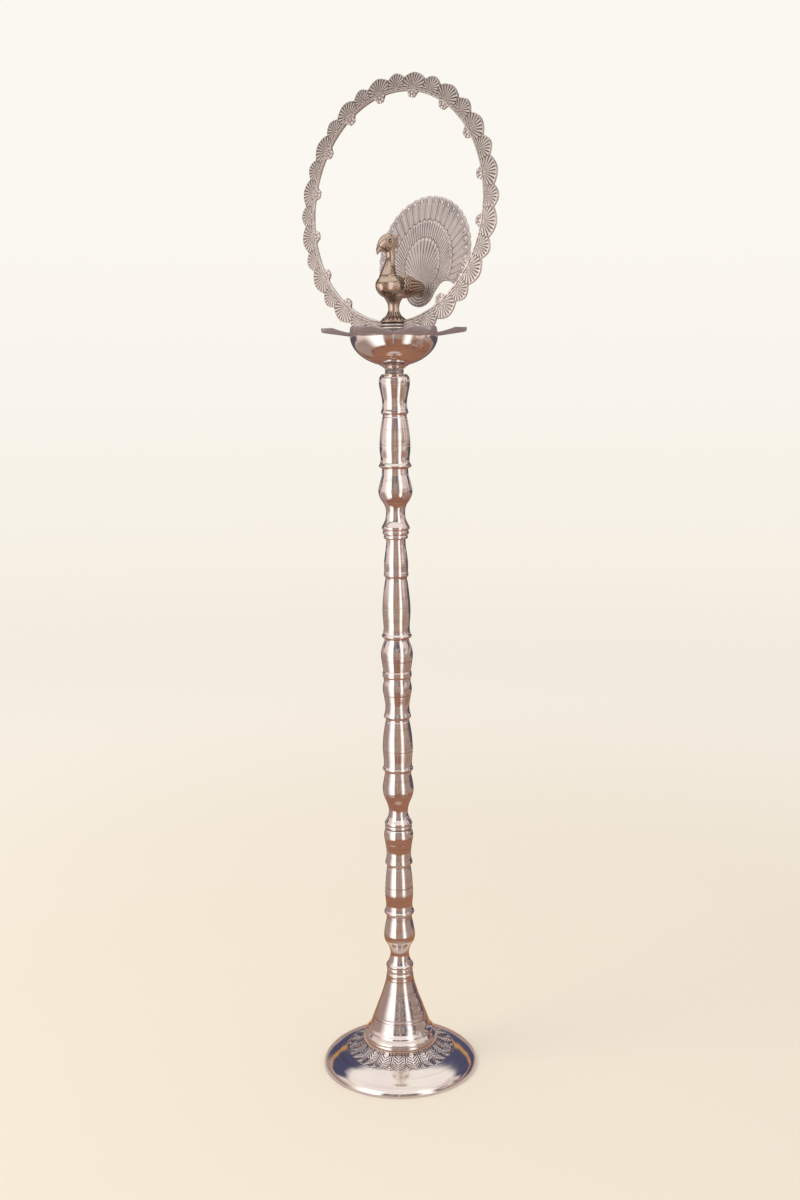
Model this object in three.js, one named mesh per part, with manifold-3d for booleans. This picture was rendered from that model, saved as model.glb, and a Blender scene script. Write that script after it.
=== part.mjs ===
// A standing oil lamp: a hollow cast foot, four turned stem sections screwed end to end,
// an oil bowl with six wick lips, a ring-shaped arch and a peacock with its tail fan.
// Sizes are millimetres, +Z is up, and the foot stands on z = 0 about the origin.
// The bird faces -Y and the arch stands in the XZ plane.

import * as THREE from 'three';
import { mergeVertices } from 'three/addons/utils/BufferGeometryUtils.js';
import Module from 'manifold-3d';

const wasm = await Module();
wasm.setup();

// Clearances
const SEAT_GAP = 0.3;        // between faces that bear on each other
const THREAD_GAP = 0.3;      // radial room of a screw in its nut thread
const FIT_GAP = 0.3;         // radial room of an insert in its socket
const CUT_REACH = 60;        // how far a cutting shape runs on past what it cuts

// Facets round each turned piece
const FOOT_SIDES = 40;
const STEM_SIDES = 20;
const BOWL_SIDES = 36;
const SMALL_SIDES = 16;

// Foot casting
const FOOT_R = 94;
const FOOT_RIM = 2.2;
const FOOT_WALL = 2.8;
const FOOT_H = 116.9;
const DOME_TOP_R = 66;
const DOME_TOP_Z = 18.4;
const SKIRT_R = 45;
const SKIRT_Z = 25;
const FOOT_NECK_R = 15.2;

// Screw joints: a bush brazed in each top, a threaded stud brazed in each bottom
const BORE_R = 6.8;
const SOCKET_R = 8;
const SOCKET_DEPTH = 16;
const THREAD_R = 5;
const THREAD_LENGTH = 13;

// Oil bowl and what clamps it
const BOWL_R = 54.4;
const BOWL_DEPTH = 38.5;
const BOWL_WALL = 2.2;
const BOWL_BASE_R = 12.4;
const BOWL_BASE_H = 2.8;
const BOWL_BASE_TURN = 71;   // degrees below the rim at which the bowl's curve leaves its base
const BOWL_SEAT_R = 14;
const LIP_COUNT = 6;
const LIP_TIP_R = 90.7;
const LIP_NOTCH_R = 62;
const LIP_RISE = 7.8;
const LIP_THICKNESS = 2;
const LIP_TURN = 42.5;       // degrees from the front round to the first notch
const COLLAR_R = 11.7;
const COLLAR_H = 6;
const POST_R = 8.6;
const POST_FOOT_H = 3;
const POST_H = 31;

// Arch
const ARCH_BOSS_R = 18.4;
const ARCH_BOSS_H = 17;
const ARCH_PIVOT = 15.2;     // pivot of the lean above the boss's underside
const ARCH_LEAN = 2.2;
const ARCH_SIDE = -2.4;      // ring centre to the left of the boss's axis
const ARCH_VALLEY_R = 159.4;
const ARCH_BAND = 17.4;      // from the ring's inner edge out to its valleys
const ARCH_SINK = 12.5;      // how far its lowest valley lies below the pivot
const ARCH_THICKNESS = 3.4;
const ARCH_PITCHES = 16;     // each pitch has a large and a small scallop
const LARGE_SHARE = 0.58;
const LARGE_RISE = 6.8;
const SMALL_RISE = 6.2;
const NUB_REACH = 10.5;
const NUB_HALF_WIDTH = 6;

// Peacock
const BIRD_FLANGE_R = 17.5;
const BIRD_FLANGE_H = 2.6;
const BIRD_COLUMN_R = 7.2;
const BODY_H = 46;           // height of the body's middle above the flange's underside
const BODY_REAR = 48;
const STUD_REACH = 14;

// Tail fan, measured in its own plane from the middle of its lower lobe
const TAIL_LEAN = 9.3;
const TAIL_THICKNESS = 3;
const LOBE_R = 24;
const FAN_R = 75.2;
const FAN_CENTRE_H = 42.6;
const FAN_END = 35;          // degrees below the level where the feathers stop
const FEATHER_COUNT = 27;
const FEATHER_RISE = 1.6;
const TAIL_SCREW_R = 2.2;
const TAIL_SCREW_HEAD_R = 4.6;
const TAIL_SCREW_REACH = 12;

const radians = THREE.MathUtils.degToRad;

const polishedBrass = new THREE.MeshStandardMaterial({ color: 0xcf9f84, roughness: 0.2, metalness: 1 });
const castBrass = new THREE.MeshStandardMaterial({ color: 0xc7a68f, roughness: 0.45, metalness: 1 });
const agedBrass = new THREE.MeshStandardMaterial({ color: 0x8a5c34, roughness: 0.35, metalness: 1 });
const rawBrass = new THREE.MeshStandardMaterial({ color: 0x9c938c, roughness: 0.6, metalness: 1 });

const lamp = new THREE.Group();

// A closed mesh as a solid for joining and cutting, with its faces turned outwards
function solidOf(geometry) {
  const bare = new THREE.BufferGeometry();
  bare.setAttribute('position', geometry.attributes.position.clone());
  bare.setIndex(geometry.index ? geometry.index.clone() : null);
  const merged = mergeVertices(bare, 1e-4);
  const places = merged.attributes.position;
  const corners = [];
  const a = new THREE.Vector3();
  const b = new THREE.Vector3();
  const c = new THREE.Vector3();
  let volume = 0;
  for (let i = 0; i < merged.index.count; i += 3) {
    const [p, q, r] = [0, 1, 2].map((k) => merged.index.getX(i + k));
    if (p === q || q === r || r === p) continue;
    corners.push([p, q, r]);
    a.fromBufferAttribute(places, p);
    b.fromBufferAttribute(places, q);
    c.fromBufferAttribute(places, r);
    volume += a.dot(b.cross(c));
  }
  const outward = volume > 0 ? corners : corners.map(([p, q, r]) => [p, r, q]);
  return new wasm.Manifold(new wasm.Mesh({
    numProp: 3,
    vertProperties: new Float32Array(places.array),
    triVerts: new Uint32Array(outward.flat()),
  }));
}

// Adds one named piece to its group
function piece(group, name, solid, material) {
  const faces = solid.getMesh();
  const geometry = new THREE.BufferGeometry();
  geometry.setAttribute('position', new THREE.BufferAttribute(faces.vertProperties, 3));
  geometry.setIndex(new THREE.BufferAttribute(faces.triVerts, 1));
  geometry.computeVertexNormals();
  const mesh = new THREE.Mesh(geometry, material);
  mesh.name = name;
  group.add(mesh);
  return mesh;
}

// Points of a turned outline. A run of three or more [radius, height] points is a smooth
// curve, a shorter run is straight, and runs meet at crisp corners.
function outline(runs) {
  const points = [];
  for (const run of runs) {
    const knots = run.map(([r, z]) => new THREE.Vector2(r, z));
    const spans = knots.length < 3 ? knots : new THREE.SplineCurve(knots).getPoints(knots.length - 1);
    for (const point of spans) {
      const last = points.at(-1);
      if (!last || last.distanceTo(point) > 1e-3) points.push(point);
    }
  }
  return points;
}

// A solid of revolution about Z from a closed outline
function turned(points, sides) {
  const closed = [...points, points[0]];
  return solidOf(new THREE.LatheGeometry(closed, sides).rotateX(Math.PI / 2));
}

function cylinder(radius, from, to, sides = SMALL_SIDES) {
  return turned(outline([[[0, from], [radius, from]], [[radius, to], [0, to]]]), sides);
}

function tube(outer, inner, from, to, sides = SMALL_SIDES) {
  return turned(outline([[[inner, from], [outer, from]], [[outer, to], [inner, to]]]), sides);
}

// A flat plate from a shape, standing in the XZ plane with its middle on y = 0
function plate(shape, thickness) {
  const flat = new THREE.ExtrudeGeometry(shape, { depth: thickness, bevelEnabled: false, curveSegments: 1 });
  return solidOf(flat.rotateX(Math.PI / 2).translate(0, thickness / 2, 0));
}

// The bush brazed in a top socket whose mouth is at the given height
function bush(top) {
  return tube(SOCKET_R - FIT_GAP, THREAD_R + THREAD_GAP, top - SOCKET_DEPTH + SEAT_GAP, top - SEAT_GAP);
}

// The stud brazed in a bottom socket at the given height, with its thread hanging below
function stud(base) {
  const body = SOCKET_R - FIT_GAP;
  const points = outline([
    [[0, base - THREAD_LENGTH], [THREAD_R, base - THREAD_LENGTH]],
    [[THREAD_R, base], [body, base]],
    [[body, base + SOCKET_DEPTH - SEAT_GAP], [0, base + SOCKET_DEPTH - SEAT_GAP]],
  ]);
  return turned(points, SMALL_SIDES);
}

// Inner outline of a stepped bore between two heights, from the top down
function steppedBore(bottom, top, lowSocket) {
  const runs = [[[SOCKET_R, top], [SOCKET_R, top - SOCKET_DEPTH]]];
  runs.push([[BORE_R, top - SOCKET_DEPTH]]);
  if (lowSocket) {
    runs.push([[BORE_R, bottom + SOCKET_DEPTH], [SOCKET_R, bottom + SOCKET_DEPTH]]);
    runs.push([[SOCKET_R, bottom]]);
  }
  return runs;
}

// Foot: a thin rim, a polished dome, a band for the petals and a bell with turned steps
const footBell = [
  [[SKIRT_R - 0.4, SKIRT_Z + 4], [SKIRT_R + 0.2, SKIRT_Z + 5]],
  [[SKIRT_R + 0.2, SKIRT_Z + 12.6], [SKIRT_R - 1, SKIRT_Z + 13.8]],
  [[SKIRT_R - 3.6, SKIRT_Z + 16.4], [SKIRT_R - 4.6, SKIRT_Z + 17.6]],
  [[SKIRT_R - 5, 43.4], [37.2, 47], [35, 52], [32.6, 58], [29.9, 65], [26.4, 74], [23.2, 82]],
  [[20.9, 89], [18.7, 96], [17, 103], [16.2, 109.6]],
  [[FOOT_NECK_R - 0.6, 111], [FOOT_NECK_R - 0.6, 112.2]],
  [[FOOT_NECK_R + 0.6, 113], [FOOT_NECK_R + 0.6, 115.2]],
  [[FOOT_NECK_R - 0.4, FOOT_H]],
];
const footOuter = [
  [[FOOT_R, 0], [FOOT_R, FOOT_RIM]],
  [[FOOT_R - 0.6, FOOT_RIM + 2], [FOOT_R - 3, 7.4], [FOOT_R - 8, 11], [FOOT_R - 14, 14], [FOOT_R - 20, 16.3],
    [DOME_TOP_R, DOME_TOP_Z]],
  [[DOME_TOP_R - 12, DOME_TOP_Z + 2.2], [SKIRT_R, SKIRT_Z]],
  ...footBell,
];
const footInner = [
  [[BORE_R, 90]],
  [[12.6, 86], [17.2, 78], [24, 64], [31, 50], [37.6, 38]],
  [[SKIRT_R - FOOT_WALL, SKIRT_Z - FOOT_WALL], [DOME_TOP_R, DOME_TOP_Z - FOOT_WALL]],
  [[FOOT_R - 15, 11.4], [FOOT_R - 8.6, 8], [FOOT_R - 4.6, 4.4], [FOOT_R - FOOT_WALL, 0]],
];
const footOutline = outline([...footOuter, ...steppedBore(0, FOOT_H, false), ...footInner]);
piece(lamp, 'foot_casting', turned(footOutline, FOOT_SIDES), polishedBrass);
piece(lamp, 'foot_bush', bush(FOOT_H), rawBrass);

// Stem sections from the lowest up. Heights are from each section's own base.
const stemSections = [
  {
    length: 170.9,
    base: [[[15.4, 0], [16.7, 0.9]], [[16.7, 3.2], [15.2, 4.4]]],
    bulb: [[15.2, 4.4], [12.4, 10.5], [11.4, 17.8], [13.6, 26], [17.8, 33], [19.1, 39.5], [17.9, 49],
      [15.6, 60]],
    lowerLip: [[[15.4, 65]], [[18.5, 67], [18.5, 69.4]]],
    barrel: [[18.5, 69.4], [16.6, 72.6], [16.2, 78], [17.3, 90], [16.6, 106], [14.9, 122.4]],
    upperLip: [[[14.3, 123], [14.3, 126.2]], [[16.7, 128]]],
    head: [[16.7, 130.2], [15.4, 135], [15.1, 142], [16.3, 151], [17.9, 161], [17.4, 167], [15.8, 170.6]],
  },
  {
    length: 183.3,
    base: [[[15.4, 0], [16.6, 0.8]], [[16.6, 3], [15.8, 3.8]], [[15.8, 4.6], [16.9, 5.4]], [[16.9, 7.4], [16.2, 8.6]]],
    bulb: [[16.2, 8.6], [12.9, 14.5], [11.7, 21.5], [13.4, 30], [17.6, 40], [19.1, 48], [18.2, 57], [16.2, 67]],
    lowerLip: [[[16.2, 71]], [[18.8, 72.6], [18.8, 75]]],
    barrel: [[18.8, 75], [17.4, 78], [17.4, 84], [18.5, 99], [17.6, 115], [14.9, 132]],
    upperLip: [[[14.3, 132.6], [14.3, 136]], [[16.7, 137.6]]],
    head: [[16.7, 139.8], [15.3, 144.4], [14.8, 152.4], [16.2, 161], [17.9, 171], [17.5, 177], [16, 183]],
  },
  {
    length: 174,
    base: [[[16.6, 0], [16.6, 3]], [[17.9, 4], [17.9, 9.8]], [[16.9, 11]]],
    bulb: [[16.9, 11], [18.4, 20], [19.7, 30.6], [18.4, 39.5], [14.9, 49]],
    lowerLip: [[[14.9, 51.4]], [[18.5, 53], [18.5, 55.4]]],
    barrel: [[18.5, 55.4], [16.6, 58.6], [16.1, 66], [17.3, 86], [16.2, 104], [13.8, 123]],
    upperLip: [[[13.3, 124], [13.3, 126.6]], [[15, 128]]],
    head: [[15, 132.4], [14.6, 134], [14.8, 144], [13.5, 156], [12.1, 166], [12, 173.6]],
  },
  {
    length: 203,
    base: [[[13.8, 0], [14.9, 1]], [[14.9, 3.4], [14.2, 4.2]], [[14.4, 5], [16.2, 6]], [[16.2, 9.4], [15.2, 10.2]],
      [[15.4, 11], [17.3, 12.2]], [[17.3, 14.6], [16.8, 15.6]]],
    bulb: [[16.8, 15.6], [13.2, 23], [11.7, 33], [13.6, 41.5], [18.6, 49.5], [21, 58], [19.6, 67], [16.4, 79]],
    lowerLip: [[[16, 87]], [[20.4, 88.6], [20.4, 91.2]]],
    barrel: [[20.4, 91.2], [18.2, 94.6], [17.9, 100], [19.1, 112], [18, 131], [15.4, 149.4]],
    upperLip: [[[14.8, 150.2], [14.8, 153.4]], [[16.9, 154.8]]],
    head: [[16.9, 157.2], [15.6, 162.4], [15.4, 170], [17.2, 180], [19.1, 190.4], [18.6, 198.4], [15.6, 202.6]],
  },
];

let joint = FOOT_H + SEAT_GAP;
stemSections.forEach((section, i) => {
  const top = section.length - SEAT_GAP;
  const runs = [
    ...section.base,
    section.bulb,
    ...section.lowerLip,
    section.barrel,
    ...section.upperLip,
    section.head,
    ...steppedBore(0, top, true),
  ];
  const raised = outline(runs).map((point) => new THREE.Vector2(point.x, point.y + joint));
  piece(lamp, `stem_section_${i + 1}`, turned(raised, STEM_SIDES), polishedBrass);
  piece(lamp, `stem_stud_${i + 1}`, stud(joint), rawBrass);
  piece(lamp, `stem_bush_${i + 1}`, bush(joint + top), rawBrass);
  joint += section.length;
});

// Collar between the stem and the bowl
const collarTop = joint + COLLAR_H;
piece(lamp, 'bowl_collar', tube(COLLAR_R, THREAD_R + THREAD_GAP, joint, collarTop), rawBrass);

// Oil bowl: a half ellipse on a stepped base, with a sloping flange cut to pointed lips
const bowlBase = collarTop + SEAT_GAP;
const bowlBottom = bowlBase + BOWL_BASE_H;
const bowlRim = bowlBottom + BOWL_DEPTH;
const bowlFloor = bowlBottom + BOWL_WALL + 1.6;

function ellipseRun(radius, depth, centre, from, to, spans) {
  const run = [];
  for (let i = 0; i <= spans; i += 1) {
    const turn = radians(from + (to - from) * i / spans);
    run.push([radius * Math.cos(turn), centre - depth * Math.sin(turn)]);
  }
  return run;
}

const bowlInnerR = BOWL_R - BOWL_WALL;
const floorTurn = THREE.MathUtils.radToDeg(Math.acos(BOWL_SEAT_R / bowlInnerR));
const bowlOutline = outline([
  [[THREAD_R + THREAD_GAP, bowlBase], [BOWL_BASE_R, bowlBase]],
  [[BOWL_BASE_R, bowlBase + 1.2], [BOWL_BASE_R + 1.8, bowlBase + 1.6]],
  [[BOWL_BASE_R + 1.8, bowlBottom + 0.4]],
  ellipseRun(BOWL_R, BOWL_DEPTH, bowlRim, BOWL_BASE_TURN, 0, 9),
  [[LIP_TIP_R + 1, bowlRim + LIP_RISE], [LIP_TIP_R + 1, bowlRim + LIP_RISE + LIP_THICKNESS]],
  [[bowlInnerR, bowlRim + LIP_THICKNESS]],
  ellipseRun(bowlInnerR, bowlRim - bowlFloor + 0.6, bowlRim, 0, floorTurn, 9),
  [[BOWL_SEAT_R, bowlFloor], [THREAD_R + THREAD_GAP, bowlFloor]],
]);

const lipShape = new THREE.Shape();
const lipSpans = 6;
for (let i = 0; i < LIP_COUNT * 2 * lipSpans; i += 1) {
  const toTip = 1 - Math.abs((i % (2 * lipSpans)) / lipSpans - 1);
  const radius = LIP_NOTCH_R + (LIP_TIP_R - LIP_NOTCH_R) * toTip ** 1.35;
  const turn = radians(LIP_TURN - 90) + Math.PI * i / (LIP_COUNT * lipSpans);
  const point = new THREE.Vector2(radius * Math.cos(turn), radius * Math.sin(turn));
  if (i === 0) lipShape.moveTo(point.x, point.y);
  else lipShape.lineTo(point.x, point.y);
}
const lipBlock = new THREE.ExtrudeGeometry(lipShape, { depth: BOWL_DEPTH * 2, bevelEnabled: false })
  .translate(0, 0, bowlBase - BOWL_DEPTH / 2);
piece(lamp, 'oil_bowl', turned(bowlOutline, BOWL_SIDES).intersect(solidOf(lipBlock)), polishedBrass);

// Post standing in the bowl, with a threaded hole at each end
const postFoot = bowlFloor + SEAT_GAP;
const postTop = postFoot + POST_H;
const holeDepth = STUD_REACH + SEAT_GAP;
const postOutline = outline([
  [[0, postFoot + holeDepth], [THREAD_R + THREAD_GAP, postFoot + holeDepth]],
  [[THREAD_R + THREAD_GAP, postFoot], [BOWL_SEAT_R - 1, postFoot]],
  [[BOWL_SEAT_R - 1, postFoot + POST_FOOT_H], [POST_R, postFoot + POST_FOOT_H + 2]],
  [[POST_R, postTop], [THREAD_R + THREAD_GAP, postTop]],
  [[THREAD_R + THREAD_GAP, postTop - holeDepth], [0, postTop - holeDepth]],
]);
piece(lamp, 'centre_post', turned(postOutline, SMALL_SIDES), rawBrass);
piece(lamp, 'bowl_stud', cylinder(THREAD_R, joint - THREAD_LENGTH, postFoot + STUD_REACH), rawBrass);

// Arch: a scalloped ring with leaf nubs inside, joined to a boss that the bird's screw clamps
const bossBottom = postTop + SEAT_GAP;
const bossTop = bossBottom + ARCH_BOSS_H;
const birdSeat = bossTop + SEAT_GAP;
const archPitch = 2 * Math.PI / ARCH_PITCHES;
const archInnerR = ARCH_VALLEY_R - ARCH_BAND;
const archCentre = ARCH_VALLEY_R - ARCH_SINK;

// Points of one rounded lobe round a centre, from its first valley up to but not onto its second
function lobe(middle, halfTurn, base, rise, spans) {
  const points = [];
  for (let i = 0; i < spans; i += 1) {
    const across = 2 * i / spans - 1;
    const radius = base + rise * Math.sqrt(1 - across * across);
    const turn = middle + halfTurn * across;
    points.push(new THREE.Vector2(radius * Math.sin(turn), archCentre + radius * Math.cos(turn)));
  }
  return points;
}

const archRim = [];
const archHole = [];
for (let i = 0; i < ARCH_PITCHES; i += 1) {
  const start = i * archPitch;
  const middle = start + archPitch / 2;
  archRim.push(...lobe(start, archPitch * (1 - LARGE_SHARE) / 2, ARCH_VALLEY_R, SMALL_RISE, 5));
  archRim.push(...lobe(middle, archPitch * LARGE_SHARE / 2, ARCH_VALLEY_R, LARGE_RISE, 6));
  const nearBoss = Math.abs(middle - Math.PI) < archPitch;
  const reach = nearBoss ? 0 : NUB_REACH;
  archHole.push(...lobe(start, archPitch / 2 - NUB_HALF_WIDTH / archInnerR, archInnerR, 0, 4));
  archHole.push(...lobe(middle, NUB_HALF_WIDTH / archInnerR, archInnerR, -reach, 6));
}
const archShape = new THREE.Shape(archRim);
archShape.holes.push(new THREE.Path(archHole.reverse()));
const bossMiddle = bossBottom + ARCH_PIVOT;
const archBand = plate(archShape, ARCH_THICKNESS)
  .translate([ARCH_SIDE, 0, 0])
  .rotate([-ARCH_LEAN, 0, 0])
  .translate([0, 0, bossMiddle]);
const archBoss = cylinder(ARCH_BOSS_R, bossBottom, bossTop, 24);
const underBird = cylinder(BIRD_FLANGE_R + 1, bossTop, bossTop + CUT_REACH, 24);
const screwHole = cylinder(THREAD_R + THREAD_GAP, bossBottom - CUT_REACH, bossTop + 1);
const postRoom = cylinder(POST_R + 1, bossBottom - CUT_REACH, bossBottom);
const arch = archBand.subtract(underBird).add(archBoss).subtract(screwHole).subtract(postRoom);
piece(lamp, 'arch_ring', arch, castBrass);

// Peacock: body, neck, head, wings and pedestal cast in one, hollow only for its screws

// A closed skin through elliptical sections [y, z, halfWidth, halfHeight] along a path
// in the plane x = offset. Sections stand square to the path.
function skin(sections, offset = 0, sides = 14) {
  const places = [];
  const corners = [];
  const last = sections.length - 1;
  sections.forEach(([y, z, halfWidth, halfHeight], i) => {
    const before = sections[Math.max(i - 1, 0)];
    const after = sections[Math.min(i + 1, last)];
    const along = new THREE.Vector2(after[0] - before[0], after[1] - before[1]).normalize();
    for (let k = 0; k < sides; k += 1) {
      const turn = 2 * Math.PI * k / sides;
      const rise = halfHeight * Math.sin(turn);
      places.push(offset + halfWidth * Math.cos(turn), y - along.y * rise, z + along.x * rise);
      const next = (k + 1) % sides;
      if (i < last) {
        corners.push(i * sides + k, i * sides + next, (i + 1) * sides + next);
        corners.push(i * sides + k, (i + 1) * sides + next, (i + 1) * sides + k);
      }
    }
  });
  for (const [i, flip] of [[0, true], [last, false]]) {
    const middle = places.length / 3;
    places.push(offset, sections[i][0], sections[i][1]);
    for (let k = 0; k < sides; k += 1) {
      const pair = [i * sides + k, i * sides + (k + 1) % sides];
      if (flip) pair.reverse();
      corners.push(middle, ...pair);
    }
  }
  const geometry = new THREE.BufferGeometry();
  geometry.setAttribute('position', new THREE.Float32BufferAttribute(places, 3));
  geometry.setIndex(corners);
  return solidOf(geometry);
}

const bodyZ = birdSeat + BODY_H;
const birdBody = skin([
  [BODY_REAR + 6, bodyZ - 3, 5, 6], [40, bodyZ - 2.4, 9, 9], [24, bodyZ - 1.4, 13, 12.4],
  [6, bodyZ - 0.4, 15.4, 14.8], [-8, bodyZ, 15.4, 15.4], [-18, bodyZ + 0.4, 12.2, 12.6],
  [-25, bodyZ + 0.4, 7, 7.4], [-27.6, bodyZ + 0.4, 2, 2],
]);
const birdNeck = skin([
  [-6, bodyZ - 2, 11, 11], [-9, bodyZ + 9, 10.6, 13], [-8, bodyZ + 18.6, 8.4, 9.6],
  [-6, bodyZ + 27, 6.6, 6.8], [-4.8, bodyZ + 36, 5.6, 5.8], [-5.6, bodyZ + 45, 6, 6.4],
]);
const birdHead = skin([
  [5, bodyZ + 56, 2.4, 4], [0.6, bodyZ + 55, 5.4, 8.4], [-6, bodyZ + 53.4, 7.4, 11.6],
  [-14, bodyZ + 51.8, 6.8, 11.4], [-21, bodyZ + 48.8, 5.2, 8.8], [-26, bodyZ + 44, 3.4, 5.2],
  [-28.4, bodyZ + 39.4, 1.8, 2.4],
]);
const wings = [-1, 1].map((side) => skin([
  [-6, bodyZ + 2, 1.6, 4], [0, bodyZ + 2.4, 5.4, 9.4], [10, bodyZ + 2.4, 6.4, 11.4],
  [22, bodyZ + 1, 6.4, 9.6], [34, bodyZ, 5.2, 7.2], [45, bodyZ - 1, 2.6, 3.6],
], side * 10.4, 12));
const pedestal = turned(outline([
  [[0, birdSeat], [BIRD_FLANGE_R - 3, birdSeat]],
  [[BIRD_FLANGE_R, birdSeat + BIRD_FLANGE_H], [BIRD_FLANGE_R - 0.6, birdSeat + BIRD_FLANGE_H + 1.6]],
  [[BIRD_FLANGE_R - 3, birdSeat + 5.8], [10, birdSeat + 9], [BIRD_COLUMN_R + 0.6, birdSeat + 13.4],
    [BIRD_COLUMN_R, birdSeat + 20], [BIRD_COLUMN_R + 1.4, birdSeat + 29], [BIRD_COLUMN_R + 3, bodyZ - 8]],
  [[0, bodyZ - 8]],
]), 20);

// The tail's plane leans back; its own frame starts at the middle of its lower lobe
const tailZ = bodyZ - 0.4;
const tailFrame = (solid) => solid.rotate([-TAIL_LEAN, 0, 0]).translate([0, BODY_REAR, tailZ]);
const cutCorners = [[-1, -1], [1, -1], [1, 1], [-1, 1]];
const cutSquare = new THREE.Shape(cutCorners.map(([x, z]) => new THREE.Vector2(x * CUT_REACH, z * CUT_REACH)));
const behindTail = tailFrame(plate(cutSquare, CUT_REACH).translate([0, CUT_REACH / 2, 0]));
const screwBar = (radius, from, to, sides) => tailFrame(cylinder(radius, from, to, sides).rotate([-90, 0, 0]));
const birdStudHole = cylinder(THREAD_R + THREAD_GAP, birdSeat - 1, birdSeat + STUD_REACH + SEAT_GAP);
const bird = wings.reduce((all, wing) => all.add(wing), birdBody.add(birdNeck).add(birdHead).add(pedestal))
  .subtract(behindTail)
  .subtract(screwBar(TAIL_SCREW_R + THREAD_GAP, -TAIL_SCREW_REACH - SEAT_GAP, 1, 8))
  .subtract(birdStudHole);
piece(lamp, 'peacock_body', bird, agedBrass);
piece(lamp, 'peacock_stud', cylinder(THREAD_R, postTop - STUD_REACH, birdSeat + STUD_REACH), rawBrass);

// Tail fan: scalloped feather ends over the top, a notch on each side and a round lower lobe
const fanRim = [];
const fanStart = radians(90 + FAN_END);
const featherTurn = 2 * fanStart / FEATHER_COUNT;
const featherSpans = 3;
for (let i = 0; i <= FEATHER_COUNT * featherSpans; i += 1) {
  const across = (i % featherSpans) / featherSpans;
  const radius = FAN_R + FEATHER_RISE * Math.sin(Math.PI * across);
  const turn = fanStart - featherTurn * i / featherSpans;
  fanRim.push(new THREE.Vector2(radius * Math.sin(turn), FAN_CENTRE_H + radius * Math.cos(turn)));
}
const notch = new THREE.SplineCurve([
  new THREE.Vector2(LOBE_R - 0.8, -6.6), new THREE.Vector2(28.6, 1.2), new THREE.Vector2(35.6, 7),
  new THREE.Vector2(44, 8.6), new THREE.Vector2(52, 6.6), new THREE.Vector2(57.6, 1.6),
]).getPoints(6);
const lobeStart = Math.atan2(-6.6, LOBE_R - 0.8);
const lobeArc = [];
const lobeSpans = 12;
for (let i = 1; i < lobeSpans; i += 1) {
  const turn = Math.PI - lobeStart + (Math.PI + 2 * lobeStart) * i / lobeSpans;
  lobeArc.push(new THREE.Vector2(LOBE_R * Math.cos(turn), LOBE_R * Math.sin(turn)));
}
const mirrored = notch.map((point) => new THREE.Vector2(-point.x, point.y)).reverse();
const tailShape = new THREE.Shape([...fanRim, ...mirrored, ...lobeArc, ...notch]);
const tailPlate = tailFrame(plate(tailShape, TAIL_THICKNESS).translate([0, TAIL_THICKNESS / 2 + SEAT_GAP, 0]));
const tail = tailPlate.subtract(screwBar(TAIL_SCREW_R + THREAD_GAP, -1, TAIL_THICKNESS + 2, 8));
piece(lamp, 'peacock_tail', tail, castBrass);

const headBack = SEAT_GAP * 2 + TAIL_THICKNESS;
const tailScrew = screwBar(TAIL_SCREW_R, -TAIL_SCREW_REACH, headBack + 1, 8)
  .add(screwBar(TAIL_SCREW_HEAD_R, headBack, headBack + 2.2, 12));
piece(lamp, 'tail_screw', tailScrew, rawBrass);

export default lamp;
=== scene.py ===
# %% [markdown]
# # A standing oil lamp in turned and cast brass
#
# The lamp is as tall as a child. Its foot, stem and bowl are turned on a lathe and polished.
# The ring, the peacock and its tail are cast in sand, so their patterns are soft reliefs with
# dark hollows. The packed model already has every piece at its true size. Here each visible piece
# gets a finer surface over that frame, and a finish of its own.

import bmesh
import bpy
import numpy as np
from mathutils import Matrix, Vector


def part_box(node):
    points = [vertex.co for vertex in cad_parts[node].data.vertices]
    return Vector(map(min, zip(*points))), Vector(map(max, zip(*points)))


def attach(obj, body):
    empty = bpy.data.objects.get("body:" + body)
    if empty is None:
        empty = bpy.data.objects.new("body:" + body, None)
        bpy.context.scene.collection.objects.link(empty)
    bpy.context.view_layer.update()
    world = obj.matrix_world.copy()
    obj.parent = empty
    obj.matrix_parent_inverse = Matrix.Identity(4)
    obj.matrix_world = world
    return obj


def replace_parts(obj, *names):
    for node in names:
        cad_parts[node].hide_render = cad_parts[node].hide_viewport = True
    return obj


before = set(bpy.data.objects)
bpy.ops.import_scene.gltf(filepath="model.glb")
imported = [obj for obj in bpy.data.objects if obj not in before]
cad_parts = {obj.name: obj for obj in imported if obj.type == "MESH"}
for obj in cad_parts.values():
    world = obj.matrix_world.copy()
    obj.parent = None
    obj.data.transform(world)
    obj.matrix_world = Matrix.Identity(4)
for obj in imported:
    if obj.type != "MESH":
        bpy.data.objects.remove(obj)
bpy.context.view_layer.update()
MM = 0.001


# %% [markdown]
# ## Sums written as Python
#
# A finish is a graph of nodes, and a graph of sums is hard to read. The small class below wraps
# a number socket, so that `0.2 + 0.1 * mask` adds the Math nodes by itself. Every other node
# comes from one method that takes its type, its settings and its inputs.

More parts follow.
